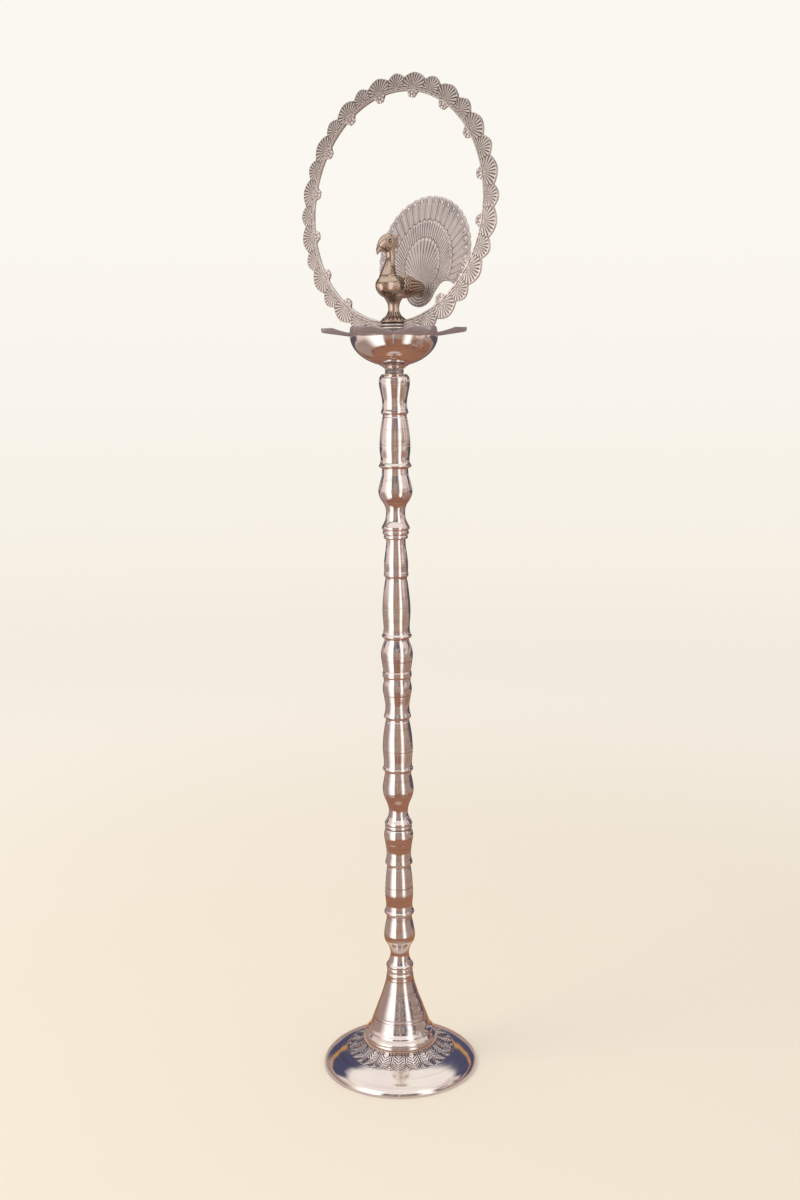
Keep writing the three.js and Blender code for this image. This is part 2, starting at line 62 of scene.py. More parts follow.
# %% Wrap a number socket
class Number:
    """A number socket that can stand in a Python sum. Each operator adds one Math node."""

    def __init__(self, finish, socket):
        self.finish = finish
        self.socket = socket

    def maths(self, operation, *others):
        """The result of a Math node that works on this number and the others."""
        inputs = dict(enumerate((self, *others)))
        return self.finish.number("ShaderNodeMath", {"operation": operation}, inputs, 0)

    def __add__(self, other):
        return self.maths("ADD", other)

    def __sub__(self, other):
        return self.maths("SUBTRACT", other)

    def __mul__(self, other):
        return self.maths("MULTIPLY", other)

    def __rsub__(self, other):
        return (self * -1.0) + other

    __radd__ = __add__
    __rmul__ = __mul__

    def between(self, low, high):
        """0 below low, 1 above high, and between them 3t^2 - 2t^3, where t is the share of the way."""
        inputs = {"Value": self, "From Min": low, "From Max": high}
        settings = {"interpolation_type": "SMOOTHSTEP"}
        return self.finish.number("ShaderNodeMapRange", settings, inputs, "Result")


print("a number can:", [name.strip("_") for name in vars(Number) if callable(getattr(Number, name))])


# %% Wrap a node tree
class Finish:
    """The node tree of a material or a world. It hands out nodes by type, and sockets as numbers."""

    def __init__(self, owner):
        owner.use_nodes = True
        self.owner = owner
        self.tree = owner.node_tree
        self.tree.nodes.clear()

    def node(self, kind, settings=None, inputs=None):
        """A new node of this type, with its settings made and its inputs fed."""
        made = self.tree.nodes.new(kind)
        for name, value in (settings or {}).items():
            setattr(made, name, value)
        for name, value in (inputs or {}).items():
            self.feed(made.inputs[name], value)
        return made

    def feed(self, socket, value):
        """Links a socket to a number or to another socket, or gives it a plain value."""
        if isinstance(value, Number):
            value = value.socket
        if isinstance(value, bpy.types.NodeSocket):
            self.tree.links.new(value, socket)
        else:
            socket.default_value = value

    def number(self, kind, settings, inputs, output):
        """One output of a new node, as a number."""
        return Number(self, self.node(kind, settings, inputs).outputs[output])

    def place(self, kind="Object"):
        """Where a point is: on the object in metres, on its map (UV) or by direction (Generated)."""
        return self.node("ShaderNodeTexCoord").outputs[kind]

    def parts(self, vector):
        """The X, Y and Z of a vector, as three numbers."""
        apart = self.node("ShaderNodeSeparateXYZ", {}, {0: vector})
        return [Number(self, apart.outputs[axis]) for axis in "XYZ"]

    def mark(self, name="hollow"):
        """A number that the mesh carries for each of its points."""
        return self.number("ShaderNodeAttribute", {"attribute_name": name}, {}, "Fac")

    def noise(self, vector, scale, detail=2.0, roughness=0.5):
        """A cloudy number about 0.5. A scale of three numbers stretches each direction on its own."""
        if isinstance(scale, tuple):
            mapping = self.node("ShaderNodeMapping", {}, {"Vector": vector, "Scale": scale})
            vector = mapping.outputs["Vector"]
            scale = 1.0
        inputs = {"Vector": vector, "Scale": scale, "Detail": detail, "Roughness": roughness}
        return self.number("ShaderNodeTexNoise", {}, inputs, "Fac")

    def mixed(self, share, first, second):
        """The first colour where share is 0 and the second where it is 1."""
        inputs = {0: share, 6: first, 7: second}
        return self.node("ShaderNodeMix", {"data_type": "RGBA"}, inputs).outputs[2]

    def bump(self, height, strength, distance):
        """The surface's direction, tilted by a height whose 1 is the distance in metres."""
        inputs = {"Height": height, "Strength": strength, "Distance": distance}
        return self.node("ShaderNodeBump", {}, inputs).outputs["Normal"]

    def shader(self, kind, inputs=None):
        """The output of a new shader node."""
        return self.node(kind, {}, inputs).outputs[0]

    def either(self, share, first, second):
        """The first shader where share is 0 and the second where it is 1."""
        return self.shader("ShaderNodeMixShader", {0: share, 1: first, 2: second})

    def show(self, shader, kind="ShaderNodeOutputMaterial"):
        """Makes a shader the result of the tree."""
        self.feed(self.node(kind).inputs["Surface"], shader)

    def metal(self, colour, roughness, normal, metallic=1.0):
        """Makes a metal the result, and gives back the material. Below 1 it has a dull film."""
        inputs = {"Base Color": colour, "Roughness": roughness, "Normal": normal, "Metallic": metallic}
        self.show(self.shader("ShaderNodeBsdfPrincipled", inputs))
        return self.owner


print("a finish can:", [name for name in vars(Finish) if not name.startswith("_")])

# %% [markdown]
# ## The finishes
#
# Turned brass of this rosy kind is polished on the lathe, so the cloth leaves hair-fine rings that
# run round the piece. They follow the surface: the pieces carry a map whose second number is the
# distance along the outline, and a noise that is stretched 900 times along it draws the rings. A
# slow noise shifts the colour between rose and straw, as handling does. The bowl's lips are the
# same brass, dulled, with a grey colour that is a painted reflection of the dim grey they mirror.

# %% Polished turned brass
ROSE = (0.86, 0.775, 0.745, 1)
STRAW = (0.89, 0.82, 0.75, 1)
TARNISH = (0.35, 0.235, 0.20, 1)
# The lips' two tones are a dull grey, a painted reflection of the dim grey their faces mirror.
LIP_ROSE = (0.34, 0.29, 0.32, 1)
LIP_STRAW = (0.42, 0.365, 0.385, 1)
FINE_RINGS = (1.2, 900.0, 1.0)
BROAD_RINGS = (1.5, 120.0, 1.0)


def turned_finish(name, shine, ring_depth, first, second, metallic):
    """Polished metal with rings, in two shades. Shine is its middle roughness, ring_depth the height
    of a ring in metres, and a metallic below 1 gives it a dull film."""
    finish = Finish(bpy.data.materials.new(name))
    rings = finish.noise(finish.place("UV"), FINE_RINGS, 3.0, 0.6)
    broad = finish.noise(finish.place("UV"), BROAD_RINGS)
    cloud = finish.noise(finish.place(), 22.0, 3.0, 0.55)
    specks = finish.noise(finish.place(), 420.0, 2.0, 0.6)
    hollow = finish.mark()
    tone = finish.mixed(cloud.between(0.42, 0.64), first, second)
    stain = specks.between(0.66, 0.78) * 0.25 + broad.between(0.50, 0.76) * 0.34
    stain = stain + rings.between(0.52, 0.78) * 0.34
    worn = finish.mixed(stain + hollow * 0.8, tone, TARNISH)
    rough = shine + (rings - 0.5) * 0.10 + cloud.between(0.45, 0.75) * 0.06 + hollow * 0.25
    return finish.metal(worn, rough, finish.bump(rings, 0.5, ring_depth), metallic)


polished_brass = turned_finish("polished_brass_turned", 0.085, 0.00003, ROSE, STRAW, 1.0)
lip_brass = turned_finish("polished_brass_dulled", 0.34, 0.00002, LIP_ROSE, LIP_STRAW, 0.4)
print("finishes:", polished_brass.name, lip_brass.name)

# %% [markdown]
# Cast pieces keep the skin of the sand mould. The ridges are buffed bright by a wheel, and the
# hollows stay dull and dark. Each cast surface carries a mark called hollow, which is 0 on a
# ridge and 1 at the bottom of a groove, and the finish reads colour and roughness from it. On the
# bird the mark also holds painted shade on the faces that look down.

# %% Cast brass in two tones
PALE_RIDGE = (0.86, 0.775, 0.715, 1)
PALE_HOLLOW = (0.13, 0.10, 0.09, 1)
GOLD_RIDGE = (0.60, 0.46, 0.36, 1)
GOLD_HOLLOW = (0.07, 0.042, 0.032, 1)
ENGRAVED = (0.05, 0.042, 0.05, 1)


def cast_finish(name, ridge, deep, shine, dulled, grain, top_shade, metallic):
    """Cast metal that is bright on its ridges. Shine is the ridges' roughness, dulled what a hollow
    adds to it, grain the height of the sand's marks in metres, top_shade how much painted shade
    darkens it at the lamp's top, and a metallic below 1 gives it a dull film."""
    finish = Finish(bpy.data.materials.new(name))
    sand = finish.noise(finish.place(), 1500.0, 3.0, 0.6)
    pits = finish.noise(finish.place(), 340.0)
    cloud = finish.noise(finish.place(), 30.0, 3.0)
    hollow = finish.mark()
    up = finish.parts(finish.place())[2]
    # Painted shade: the last term darkens the colour above a metre, at the lamp's top.
    dark = hollow * (0.75 + cloud * 0.4) + pits.between(0.6, 0.8) * 0.2 + up.between(1.0, 1.2) * top_shade
    tone = finish.mixed(dark.between(0.0, 1.0), ridge, deep)
    rough = shine + hollow * dulled + (sand - 0.5) * 0.12 + cloud * 0.06
    return finish.metal(tone, rough, finish.bump(sand * 0.4 + pits, 0.6, grain), metallic)


cast_brass = cast_finish("cast_brass_pale", PALE_RIDGE, PALE_HOLLOW, 0.27, 0.25, 0.0001, 0.16, 0.75)
aged_brass = cast_finish("aged_brass_golden", GOLD_RIDGE, GOLD_HOLLOW, 0.15, 0.25, 0.00008, 0.0, 0.95)
engraved_brass = cast_finish("polished_brass_engraved", ROSE, ENGRAVED, 0.10, 0.18, 0.00001, 0.0, 1.0)
print("finishes:", cast_brass.name, aged_brass.name, engraved_brass.name)

# %% [markdown]
# The finest barbs of the tail are lines on its map, whose first number counts feathers: a sine of
# it, made uneven by a noise that is stretched along the feathers.

# %% Feathered cast brass
FEATHER_RIDGE = (0.84, 0.76, 0.72, 1)
FEATHER_HOLLOW = (0.09, 0.07, 0.075, 1)
BARBS = 3


def feathered_finish(name):
    """Cast metal with barbs, each a wave of a sine, and as many to a feather as BARBS says."""
    finish = Finish(bpy.data.materials.new(name))
    along = finish.place("UV")
    lines = (finish.parts(along)[0] * (2 * np.pi * BARBS)).maths("SINE") * 0.5 + 0.5
    uneven = finish.noise(along, (13.0, 60.0, 1.0), 3.0, 0.6)
    cloud = finish.noise(finish.place(), 38.0, 3.0)
    hollow = finish.mark()
    dark = hollow * 0.9 + (1.0 - lines) * 0.10 + (uneven - 0.5) * 0.95 + (cloud - 0.5) * 0.5
    tone = finish.mixed(dark.between(0.05, 1.0), FEATHER_RIDGE, FEATHER_HOLLOW)
    rough = 0.25 + hollow * 0.2 + uneven * 0.1
    return finish.metal(tone, rough, finish.bump(lines * 0.4 + uneven, 0.6, 0.00016), 0.7)


feather_brass = feathered_finish("cast_brass_feathered")
print("finish:", feather_brass.name)

# %% [markdown]
# The collar, the post and the screws were turned and never polished, so they are grey and dull,
# with coarse tool marks.

# %% Raw turned brass
RAW = (0.50, 0.45, 0.42, 1)
RAW_DARK = (0.24, 0.20, 0.18, 1)


def raw_finish(name):
    """Metal as the lathe's tool leaves it, with marks square to the axis."""
    finish = Finish(bpy.data.materials.new(name))
    marks = finish.noise(finish.place(), (20.0, 20.0, 1400.0))
    cloud = finish.noise(finish.place(), 160.0, 3.0, 0.6)
    tone = finish.mixed(cloud.between(0.4, 0.7), RAW, RAW_DARK)
    rough = 0.42 + (marks - 0.5) * 0.2 + cloud * 0.1
    return finish.metal(tone, rough, finish.bump(marks, 0.5, 0.00005), 0.85)


raw_brass = raw_finish("raw_brass_turned")
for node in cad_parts.values():
    node.data.materials.clear()
    node.data.materials.append(raw_brass)
print("raw brass on", len(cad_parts), "frame nodes until their pieces stand for them")


# %% [markdown]
# ## Small curves
#
# Every relief below is a sum of the same few curves, which work on whole arrays at once.

# %% The curves
def unit(value):
    """The value, or 0 below 0 and 1 above 1."""
    return np.clip(value, 0, 1)


def ramp(value, start, width):
    """0 at the start, 1 a width further on, and straight between. A negative width runs backwards."""
    return unit((value - start) / width)


def within(value, low, high, soft):
    """1 between low and high, with a ramp inside each."""
    return ramp(value, low, soft) * ramp(value, high, -soft)


def wave(angle):
    """1 at angle 0 and 0 half a turn on, as half of one plus the cosine."""
    return 0.5 + 0.5 * np.cos(angle)


def bell(value, middle, width):
    """1 at the middle and falling off on both sides, as e to minus the square of the distance."""
    return np.exp(-((value - middle) / width) ** 2)


def arc(value, middle, half):
    """Height of a half circle of the given half width, and 0 outside it."""
    return np.sqrt(unit(1 - ((value - middle) / half) ** 2))


def circle(sides):
    """The angles of a full turn in equal steps, with the first one again at the end."""
    return np.linspace(0, 2 * np.pi, sides + 1)


print("ramp, wave, bell and arc at 0.25:", [float(round(curve, 3)) for curve in (
    ramp(0.25, 0, 1), wave(0.25 * np.pi), bell(0.25, 0, 1), arc(0.25, 0, 1))])

# %% [markdown]
# ## From arrays to pieces
#
# Every piece below is a grid of points: a formula fills whole arrays at once, and neighbouring
# points are joined by four-sided faces. Points that fall on each other, at a pole or where the
# grid meets itself, are welded afterwards.

# %% Join grids of points into a piece
CREASE_DEGREES = 38.0
WELD = 2e-6


def grid_faces(rows, columns):
    """The four corners of each cell of a grid whose points are counted row by row."""
    first = (np.arange(rows - 1)[:, None] * columns + np.arange(columns - 1)).reshape(-1, 1)
    return first + np.array([0, 1, columns + 1, columns])


def mesh_of(name, grids):
    """A mesh of grids of points, and the number of the point at each corner of its faces."""
    faces = []
    start = 0
    for grid in grids:
        rows, columns = grid.shape[:2]
        faces.append(grid_faces(rows, columns) + start)
        start += rows * columns
    faces = np.concatenate(faces)
    mesh = bpy.data.meshes.new(name)
    mesh.from_pydata(np.concatenate([grid.reshape(-1, 3) for grid in grids]).tolist(), [], faces.tolist())
    return mesh, faces.reshape(-1)


def mark_points(mesh, name, values):
    """Stores a number for each point of a mesh, for a finish to read."""
    mesh.attributes.new(name, "FLOAT", "POINT").data.foreach_set("value", values.astype(np.float32))


def placed(name, data):
    """A new object in the scene that shows this data."""
    made = bpy.data.objects.new(name, data)
    bpy.context.scene.collection.objects.link(made)
    return made


def shade_smooth(mesh):
    """Shades every face of a mesh as part of a curved surface."""
    mesh.polygons.foreach_set("use_smooth", np.ones(len(mesh.polygons), bool))


def weld_mesh(mesh, distance):
    """Joins points that touch, drops flat faces and turns the rest outwards."""
    work = bmesh.new()
    work.from_mesh(mesh)
    bmesh.ops.remove_doubles(work, verts=work.verts, dist=distance)
    bmesh.ops.dissolve_degenerate(work, edges=work.edges, dist=1e-7)
    bmesh.ops.recalc_face_normals(work, faces=work.faces)
    work.to_mesh(mesh)
    work.free()
    shade_smooth(mesh)


def add_piece(name, body, material, surfaces):
    """One piece from surfaces, each a dict of points (rows, columns, 3), and if wanted map and hollow."""
    maps, hollows = [], []
    for surface in surfaces:
        size = surface["points"].shape[:2]
        maps.append(np.broadcast_to(surface.get("map", 0.0), (*size, 2)).reshape(-1, 2))
        hollows.append(np.broadcast_to(surface.get("hollow", 0.0), size).reshape(-1))
    mesh, corners = mesh_of(name, [surface["points"] for surface in surfaces])
    layer = mesh.uv_layers.new(name="UVMap")
    layer.data.foreach_set("uv", np.concatenate(maps)[corners].astype(np.float32).ravel())
    mark_points(mesh, "hollow", np.concatenate(hollows))
    weld_mesh(mesh, WELD)
    mesh.set_sharp_from_angle(angle=np.radians(CREASE_DEGREES))
    mesh.materials.append(material)
    made = placed(name, mesh)
    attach(made, body)
    print(f"{name}: {len(mesh.polygons)} faces")
    return made


def rims(first, second, hollow):
    """Strips that close the gap between two grids along their first and their last row."""
    return [{"points": np.stack([first[row], second[row]]), "hollow": hollow} for row in (0, -1)]


print("faces of a grid of 2 by 3 points:", grid_faces(2, 3).tolist())

# %% [markdown]
# A turned piece is an outline carried once round an axis. An outline is written as runs of
# [radius, height] points in millimetres. A run of three or more points is a smooth curve through
# them, a shorter run is straight, and runs meet at corners, which a light smoothing then rounds as
# the polishing cloth does.

# %% Carry an outline round the axis
def curve_through(knots, step):
    """Points about a step apart on a smooth curve through the knots. Between knots b and c, with a
    before them and d after, the point at share t is half of
    2b + (c - a)t + (2a - 5b + 4c - d)t^2 + (3b - a - 3c + d)t^3."""
    knots = np.asarray(knots, float)
    padded = np.concatenate([knots[:1], knots, knots[-1:]])
    points = [knots[:1]]
    for a, b, c, d in zip(padded, padded[1:], padded[2:], padded[3:]):
        count = max(2, int(np.linalg.norm((c - b)[:2]) / step))
        t = np.linspace(0, 1, count + 1)[1:, None]
        points.append((2 * b + (c - a) * t + (2 * a - 5 * b + 4 * c - d) * t**2
                       + (3 * b - a - 3 * c + d) * t**3) / 2)
    return np.concatenate(points)


def even_line(knots, step):
    """Points about a step apart on straight lines through the knots."""
    knots = np.asarray(knots, float)
    points = [knots[:1]]
    for b, c in zip(knots, knots[1:]):
        count = max(1, int(round(np.hypot(*(c - b)) / step)))
        points.append(b + (c - b) * np.linspace(0, 1, count + 1)[1:, None])
    return np.concatenate(points)


def outline(runs, step, rounding=1):
    """One line of [radius, height] points through all the runs, with its corners rounded. Each pass
    of rounding moves a point a quarter of the way to the middle of its neighbours, on both sides."""
    line = np.zeros((0, 2))
    for run in runs:
        part = curve_through(run, step) if len(run) > 2 else np.asarray(run, float)
        line = np.concatenate([line, part])
    keep = np.ones(len(line), bool)
    keep[1:] = np.hypot(*(line[1:] - line[:-1]).T) > 1e-3
    line = even_line(line[keep], step)
    for _ in range(rounding):
        line[1:-1] = line[1:-1] / 2 + (line[:-2] + line[2:]) / 4
    return line


def scribed(line, heights, depth, width=0.35):
    """The outline with fine grooves cut at the given heights: the radius drops by depth times
    a bell curve of the distance to the groove. Also the share of each groove, for its shade."""
    cut = np.zeros(len(line))
    for height in heights:
        cut = np.maximum(cut, bell(line[:, 1], height, width))
    grooved = line.copy()
    grooved[:, 0] -= depth * cut
    return grooved, cut


def walled(outside, cut, inside, dark=0.6):
    """A closed outline from its outer and its inner line, and its shade, which is dark inside."""
    line = np.concatenate([outside, inside, outside[:1]])
    return line, np.concatenate([cut, np.full(len(inside), dark), cut[:1]])


def turned(line, sides, base=0.0, hollow=0.0):
    """The surface that an outline sweeps: x is radius times sine of the turn and y minus radius
    times cosine. The map's second number is the distance along the outline in metres."""
    turn = circle(sides)
    radius = line[:, :1] * MM
    height = line[:, 1:] * MM + base
    points = np.stack([radius * np.sin(turn), -radius * np.cos(turn), height + 0 * turn], -1)
    along = np.concatenate([[0], np.cumsum(np.hypot(*np.diff(line, axis=0).T))]) * MM
    spots = np.stack(np.broadcast_arrays(turn / (2 * np.pi), along[:, None]), -1)
    return {"points": points, "map": spots, "hollow": np.reshape(hollow, (-1, 1))}


print("a bend in steps of 2 mm has", len(curve_through([[0, 0], [7, 3], [10, 10]], 2)), "points")

# %% [markdown]
# ## The foot
#
# The foot is one hollow casting, turned outside. Over a thin upright edge rises a mirror-polished
# dome, then a band of engraved petals, and over a sharp skirt a bell with turned steps. A single
# outline with a wall gives all but the petals. They are a second, finer surface laid on the band.

# %% The foot's outline
RING_R = 94.0
RING_INNER_R = 91.2
PETAL_OUT = [66.0, 18.4]
PETAL_MIDDLE = [54.0, 20.6]
SKIRT_R = 45.0
SKIRT_Z = 25.0
SOCKET_R = 8.0
SOCKET_DEPTH = 16.0
BORE_R = 6.8

foot_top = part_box("foot_casting")[1].z / MM
foot_outside = [
    [[RING_R, 0], [RING_R, 2.2]],
    [[93.4, 4.2], [91, 7.4], [86, 11], [80, 14], [74, 16.3], PETAL_OUT],
    [[64.6, 18.4]],
    [[54.2, 20.0], [44.6, 23.6]],
    [[43.5, 25], [44.4, 28.4]],
    [[45.2, 29.6], [45.5, 31], [44.8, 34.6]],
    [[44.2, 34.8], [44.8, 35.6]],
    [[44.8, 37.2], [44, 38.4]],
    [[41.6, 41], [40.4, 42.2]],
    [[40, 43.4], [37.2, 47], [35, 52], [32.6, 58], [29.9, 65], [26.4, 74], [23.2, 82],
     [20.9, 89], [18.7, 96], [17, 103], [16.2, 109.6]],
    [[14.6, 110.8], [14.6, 112.2]],
    [[15.8, 113], [16, 114.2], [15.6, 115.4]],
    [[14.8, foot_top]],
]
foot_inside = [
    [[SOCKET_R, foot_top], [SOCKET_R, foot_top - SOCKET_DEPTH]],
    [[BORE_R, foot_top - SOCKET_DEPTH], [BORE_R, 90]],
    [[12.6, 86], [17.2, 78], [24, 64], [31, 50], [37.6, 38], [42.2, 22.6]],
    [[PETAL_OUT[0], PETAL_OUT[1] - 2.8], [79, 11.4], [85.4, 8], [89.4, 4.4], [RING_INNER_R, 0]],
]
print("foot:", round(foot_top, 1), "mm tall,", 2 * RING_R, "mm across")

# %% The foot's shell
BELL_LINES = [60.6, 57.6]
BELL_STEPS = [102, 86.5, 74.7, 65.2, 49.5]
foot_line = outline(foot_outside, step=0.6, rounding=2)
foot_line, _ = scribed(foot_line, BELL_STEPS, depth=0.16, width=0.5)
foot_line, foot_cut = scribed(foot_line, BELL_LINES, depth=0.35, width=0.4)
closed_line, closed_cut = walled(foot_line, foot_cut, outline(foot_inside, step=2.0, rounding=0))
foot_shell = add_piece("foot_shell", "foot", polished_brass,
                       [turned(closed_line, sides=160, hollow=closed_cut)])
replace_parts(foot_shell, "foot_casting")

# %% [markdown]
# The petals are pointed ovals, eighteen round the foot, each cut with a double outline, a middle
# rib and slanted hatching, with the tips of a second row between them. Their height is a
# formula of two numbers: how far out a point lies on the band, and how far round from the middle
# of its petal. The lines are grooves, and the metal between them stays flat and bright.

# %% The petal band
PETALS = 18
OUTER_LINE = (0.1, 0.62)
INNER_LINE = (2.3, 0.42)
RIB_HALF = 0.6
FRONT_PROUD = 0.45
BACK_PROUD = 0.30
CUT_DEPTH = 0.40
BAND_STEP = 0.34
BAND_SIDES = 1008


def petal_edge(out):
    """Half width of a petal as a share of its room, for a share out from root to tip: full to a third
    of the way, and then the 0.8 power of one minus the square of the share left."""
    narrow = ramp(out, 0.35, 0.65)
    return np.where(out > 1, -0.3, (1 - narrow**2) ** 0.8)


def petal_relief(out, turn, room, tip):
    """The cut of one row of petals, 0 on the flat and 1 in a groove, and which points are inside.
    Room is half a petal's width in mm, and tip the share of the band that the petals reach. Two
    grooves are bell curves of the distance to the petal's edge, and the hatching is a cosine of a
    sum of the way out and the way across, which slants it to a middle rib."""
    step = 2 * np.pi / PETALS
    aside = np.abs((turn / step + 0.5) % 1 - 0.5) * 2
    inward = (petal_edge(out / tip) - aside) * room
    border = bell(inward, *OUTER_LINE)
    second = bell(inward, *INNER_LINE) * (inward > 0)
    hatch = unit(1.8 * np.cos(2 * np.pi * (out * 6.0 + aside * room * 0.24)) - 0.3)
    field = ramp(inward, 2.9, 0.3) * (aside * room > RIB_HALF)
    return np.maximum(np.maximum(border, 0.9 * second), hatch * field), inward > 0


band_line = even_line([[PETAL_OUT[0] + 0.4, PETAL_OUT[1] - 0.5], [PETAL_OUT[0] - 0.8, PETAL_OUT[1] + 0.25],
                       PETAL_MIDDLE, [SKIRT_R - 0.9, SKIRT_Z + 0.9]], BAND_STEP)
band_turn = circle(BAND_SIDES)
band_r = band_line[:, :1]
band_out = 1 - ramp(band_r, PETAL_OUT[0], SKIRT_R - PETAL_OUT[0]) + 0 * band_turn
band_room = band_r * np.pi / PETALS
front_cut, front_in = petal_relief(band_out, band_turn, band_room, 0.95)
back_cut, back_in = petal_relief(band_out, band_turn + np.pi / PETALS, band_room, 1.0)
band_cut = np.where(front_in, front_cut, np.maximum(front_cut, back_cut))
band_high = FRONT_PROUD * front_in + BACK_PROUD * (back_in & ~front_in) - CUT_DEPTH * band_cut
band_fade = ramp(band_r, PETAL_OUT[0] - 0.2, -0.8)
band_points = turned(band_line, BAND_SIDES)["points"]
band_points[..., 2] += band_high * band_fade * MM
band_map = np.stack(np.broadcast_arrays(band_turn / (2 * np.pi), band_out * 0.021), -1)
petal_band = add_piece("petal_band", "foot", engraved_brass,
                       [{"points": band_points, "map": band_map, "hollow": band_cut * band_fade}])
print("petals:", PETALS, "in each of two rows")

# %% [markdown]
# ## The stem
#
# Four turned sections screw into each other. Each has a waist, a bulb, a sharp lip, a barrel that
# widens downwards, a second lip and a flared head. The cloth has rounded their corners, and fine
# scribed lines show where the turner marked out the shapes.

# %% The four sections
SECTIONS = [
    {
        "base": [[[15.4, 0], [16.7, 0.9]], [[16.7, 3.2], [15.2, 4.4]]],
        "bulb": [[15.2, 4.4], [12.4, 10.5], [11.4, 17.8], [13.6, 26], [17.8, 33], [19.1, 39.5],
                 [17.9, 49], [15.6, 60]],
        "lower_lip": [[[15.4, 65]], [[17.9, 66.4], [18.7, 68.2], [17.9, 69.6]]],
        "barrel": [[17.4, 70.4], [16.6, 72.6], [16.2, 78], [17.3, 90], [16.6, 106], [14.9, 122.4]],
        "upper_lip": [[[14.3, 123], [14.3, 126]], [[16.3, 127.4], [16.9, 128.6], [16.6, 130.2]]],
        "head": [[16.6, 130.2], [15.4, 135], [15.1, 142], [16.3, 151], [17.9, 161], [17.4, 167],
                 [15.8, 170.6]],
        "lines": [35.4, 36.4, 98.5, 99.4, 153.6],
    },
    {
        "base": [[[15.4, 0], [16.6, 0.8]], [[16.6, 3], [15.8, 3.8]], [[15.8, 4.6], [16.9, 5.4]],
                 [[16.9, 7.4], [16.2, 8.6]]],
        "bulb": [[16.2, 8.6], [12.9, 14.5], [11.7, 21.5], [13.4, 30], [17.6, 40], [19.1, 48],
                 [18.2, 57], [16.2, 67]],
        "lower_lip": [[[16.2, 71]], [[18.2, 72.2], [19, 74], [18.4, 75.2]]],
        "barrel": [[18, 76], [17.4, 78], [17.4, 84], [18.5, 99], [17.6, 115], [14.9, 132]],
        "upper_lip": [[[14.3, 132.6], [14.3, 135.6]], [[16.4, 137], [16.9, 138.4], [16.5, 139.8]]],
        "head": [[16.5, 139.8], [15.3, 144.4], [14.8, 152.4], [16.2, 161], [17.9, 171],
                 [17.5, 177], [16, 183]],
        "lines": [43.6, 95.6, 96.4, 104.8, 163.7, 164.6],
    },
    {
        "base": [[[16.6, 0], [16.6, 3]], [[17.9, 4], [17.9, 9.8]], [[16.9, 11]]],
        "bulb": [[16.9, 11], [18.4, 20], [19.7, 30.6], [18.4, 39.5], [14.9, 49]],
        "lower_lip": [[[14.9, 51.2]], [[17.8, 52.6], [18.7, 54.4], [18, 55.8]]],
        "barrel": [[17.4, 56.6], [16.6, 58.6], [16.1, 66], [17.3, 86], [16.2, 104], [13.8, 123]],
        "upper_lip": [[[13.3, 124], [13.3, 126.4]], [[14.7, 127.6], [15.2, 129.4], [15, 132.4]]],
        "head": [[15, 132.4], [14.6, 134], [14.8, 144], [13.5, 156], [12.1, 166], [12, 173.6]],
        "lines": [4.6, 23.4, 29.8, 89, 90, 130.8, 142],
    },
    {
        "base": [[[13.8, 0], [14.9, 1]], [[14.9, 3.4], [14.2, 4.2]], [[14.4, 5], [16.2, 6]],
                 [[16.2, 9.4], [15.2, 10.2]],
                 [[15.4, 11], [17.3, 12.2]], [[17.3, 14.6], [16.8, 15.6]]],
        "bulb": [[16.8, 15.6], [13.2, 23], [11.7, 33], [13.6, 41.5], [18.6, 49.5], [21, 58],
                 [19.6, 67], [16.4, 79]],
        "lower_lip": [[[16, 86.8]], [[19.4, 88.2], [20.6, 90], [19.6, 91.4]]],
        "barrel": [[19, 92.4], [18.2, 94.6], [17.9, 100], [19.1, 112], [18, 131], [15.4, 149.4]],
        "upper_lip": [[[14.8, 150.2], [14.8, 153]], [[16.6, 154.4], [17.1, 155.8], [16.8, 157.2]]],
        "head": [[16.8, 157.2], [15.6, 162.4], [15.4, 170], [17.2, 180], [19.1, 190.4],
                 [18.6, 198.4], [15.6, 202.6]],
        "lines": [46.8, 47.8, 62, 115, 116, 159.2, 188.6],
    },
]


def stem_section(number, shape):
    """One section of the stem, from its base ring up, with its bore and two sockets."""
    node = f"stem_section_{number}"
    low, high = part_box(node)
    length = (high.z - low.z) / MM
    runs = [*shape["base"], shape["bulb"], *shape["lower_lip"], shape["barrel"],
            *shape["upper_lip"], shape["head"]]
    outside, cut = scribed(outline(runs, step=0.5, rounding=2), shape["lines"], depth=0.14)
    outside = np.concatenate([[runs[0][0]], outside, [[runs[-1][-1][0], length]]])
    cut = np.concatenate([[0], 0.4 * cut, [0]])
    bore = even_line([[SOCKET_R, length], [SOCKET_R, length - SOCKET_DEPTH],
                      [BORE_R, length - SOCKET_DEPTH], [BORE_R, SOCKET_DEPTH],
                      [SOCKET_R, SOCKET_DEPTH], [SOCKET_R, 0]], 8.0)
    line, shade = walled(outside, cut, bore)
    made = add_piece(f"stem_{number}_turned", f"stem_{number}", polished_brass,
                     [turned(line, sides=120, base=low.z, hollow=shade)])
    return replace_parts(made, node)


for number, shape in enumerate(SECTIONS, start=1):
    stem_section(number, shape)

# %% [markdown]
# ## The bowl
#
# The bowl is half an ellipse on a stepped base. Its flange slopes up and outwards and is cut to six
# pointed lips, each pressed into a shallow channel that holds a wick. The flange is a grid in
# which one number runs round and the other from the bowl's mouth out to the edge of the lips, and
# its upper and lower faces share that edge.

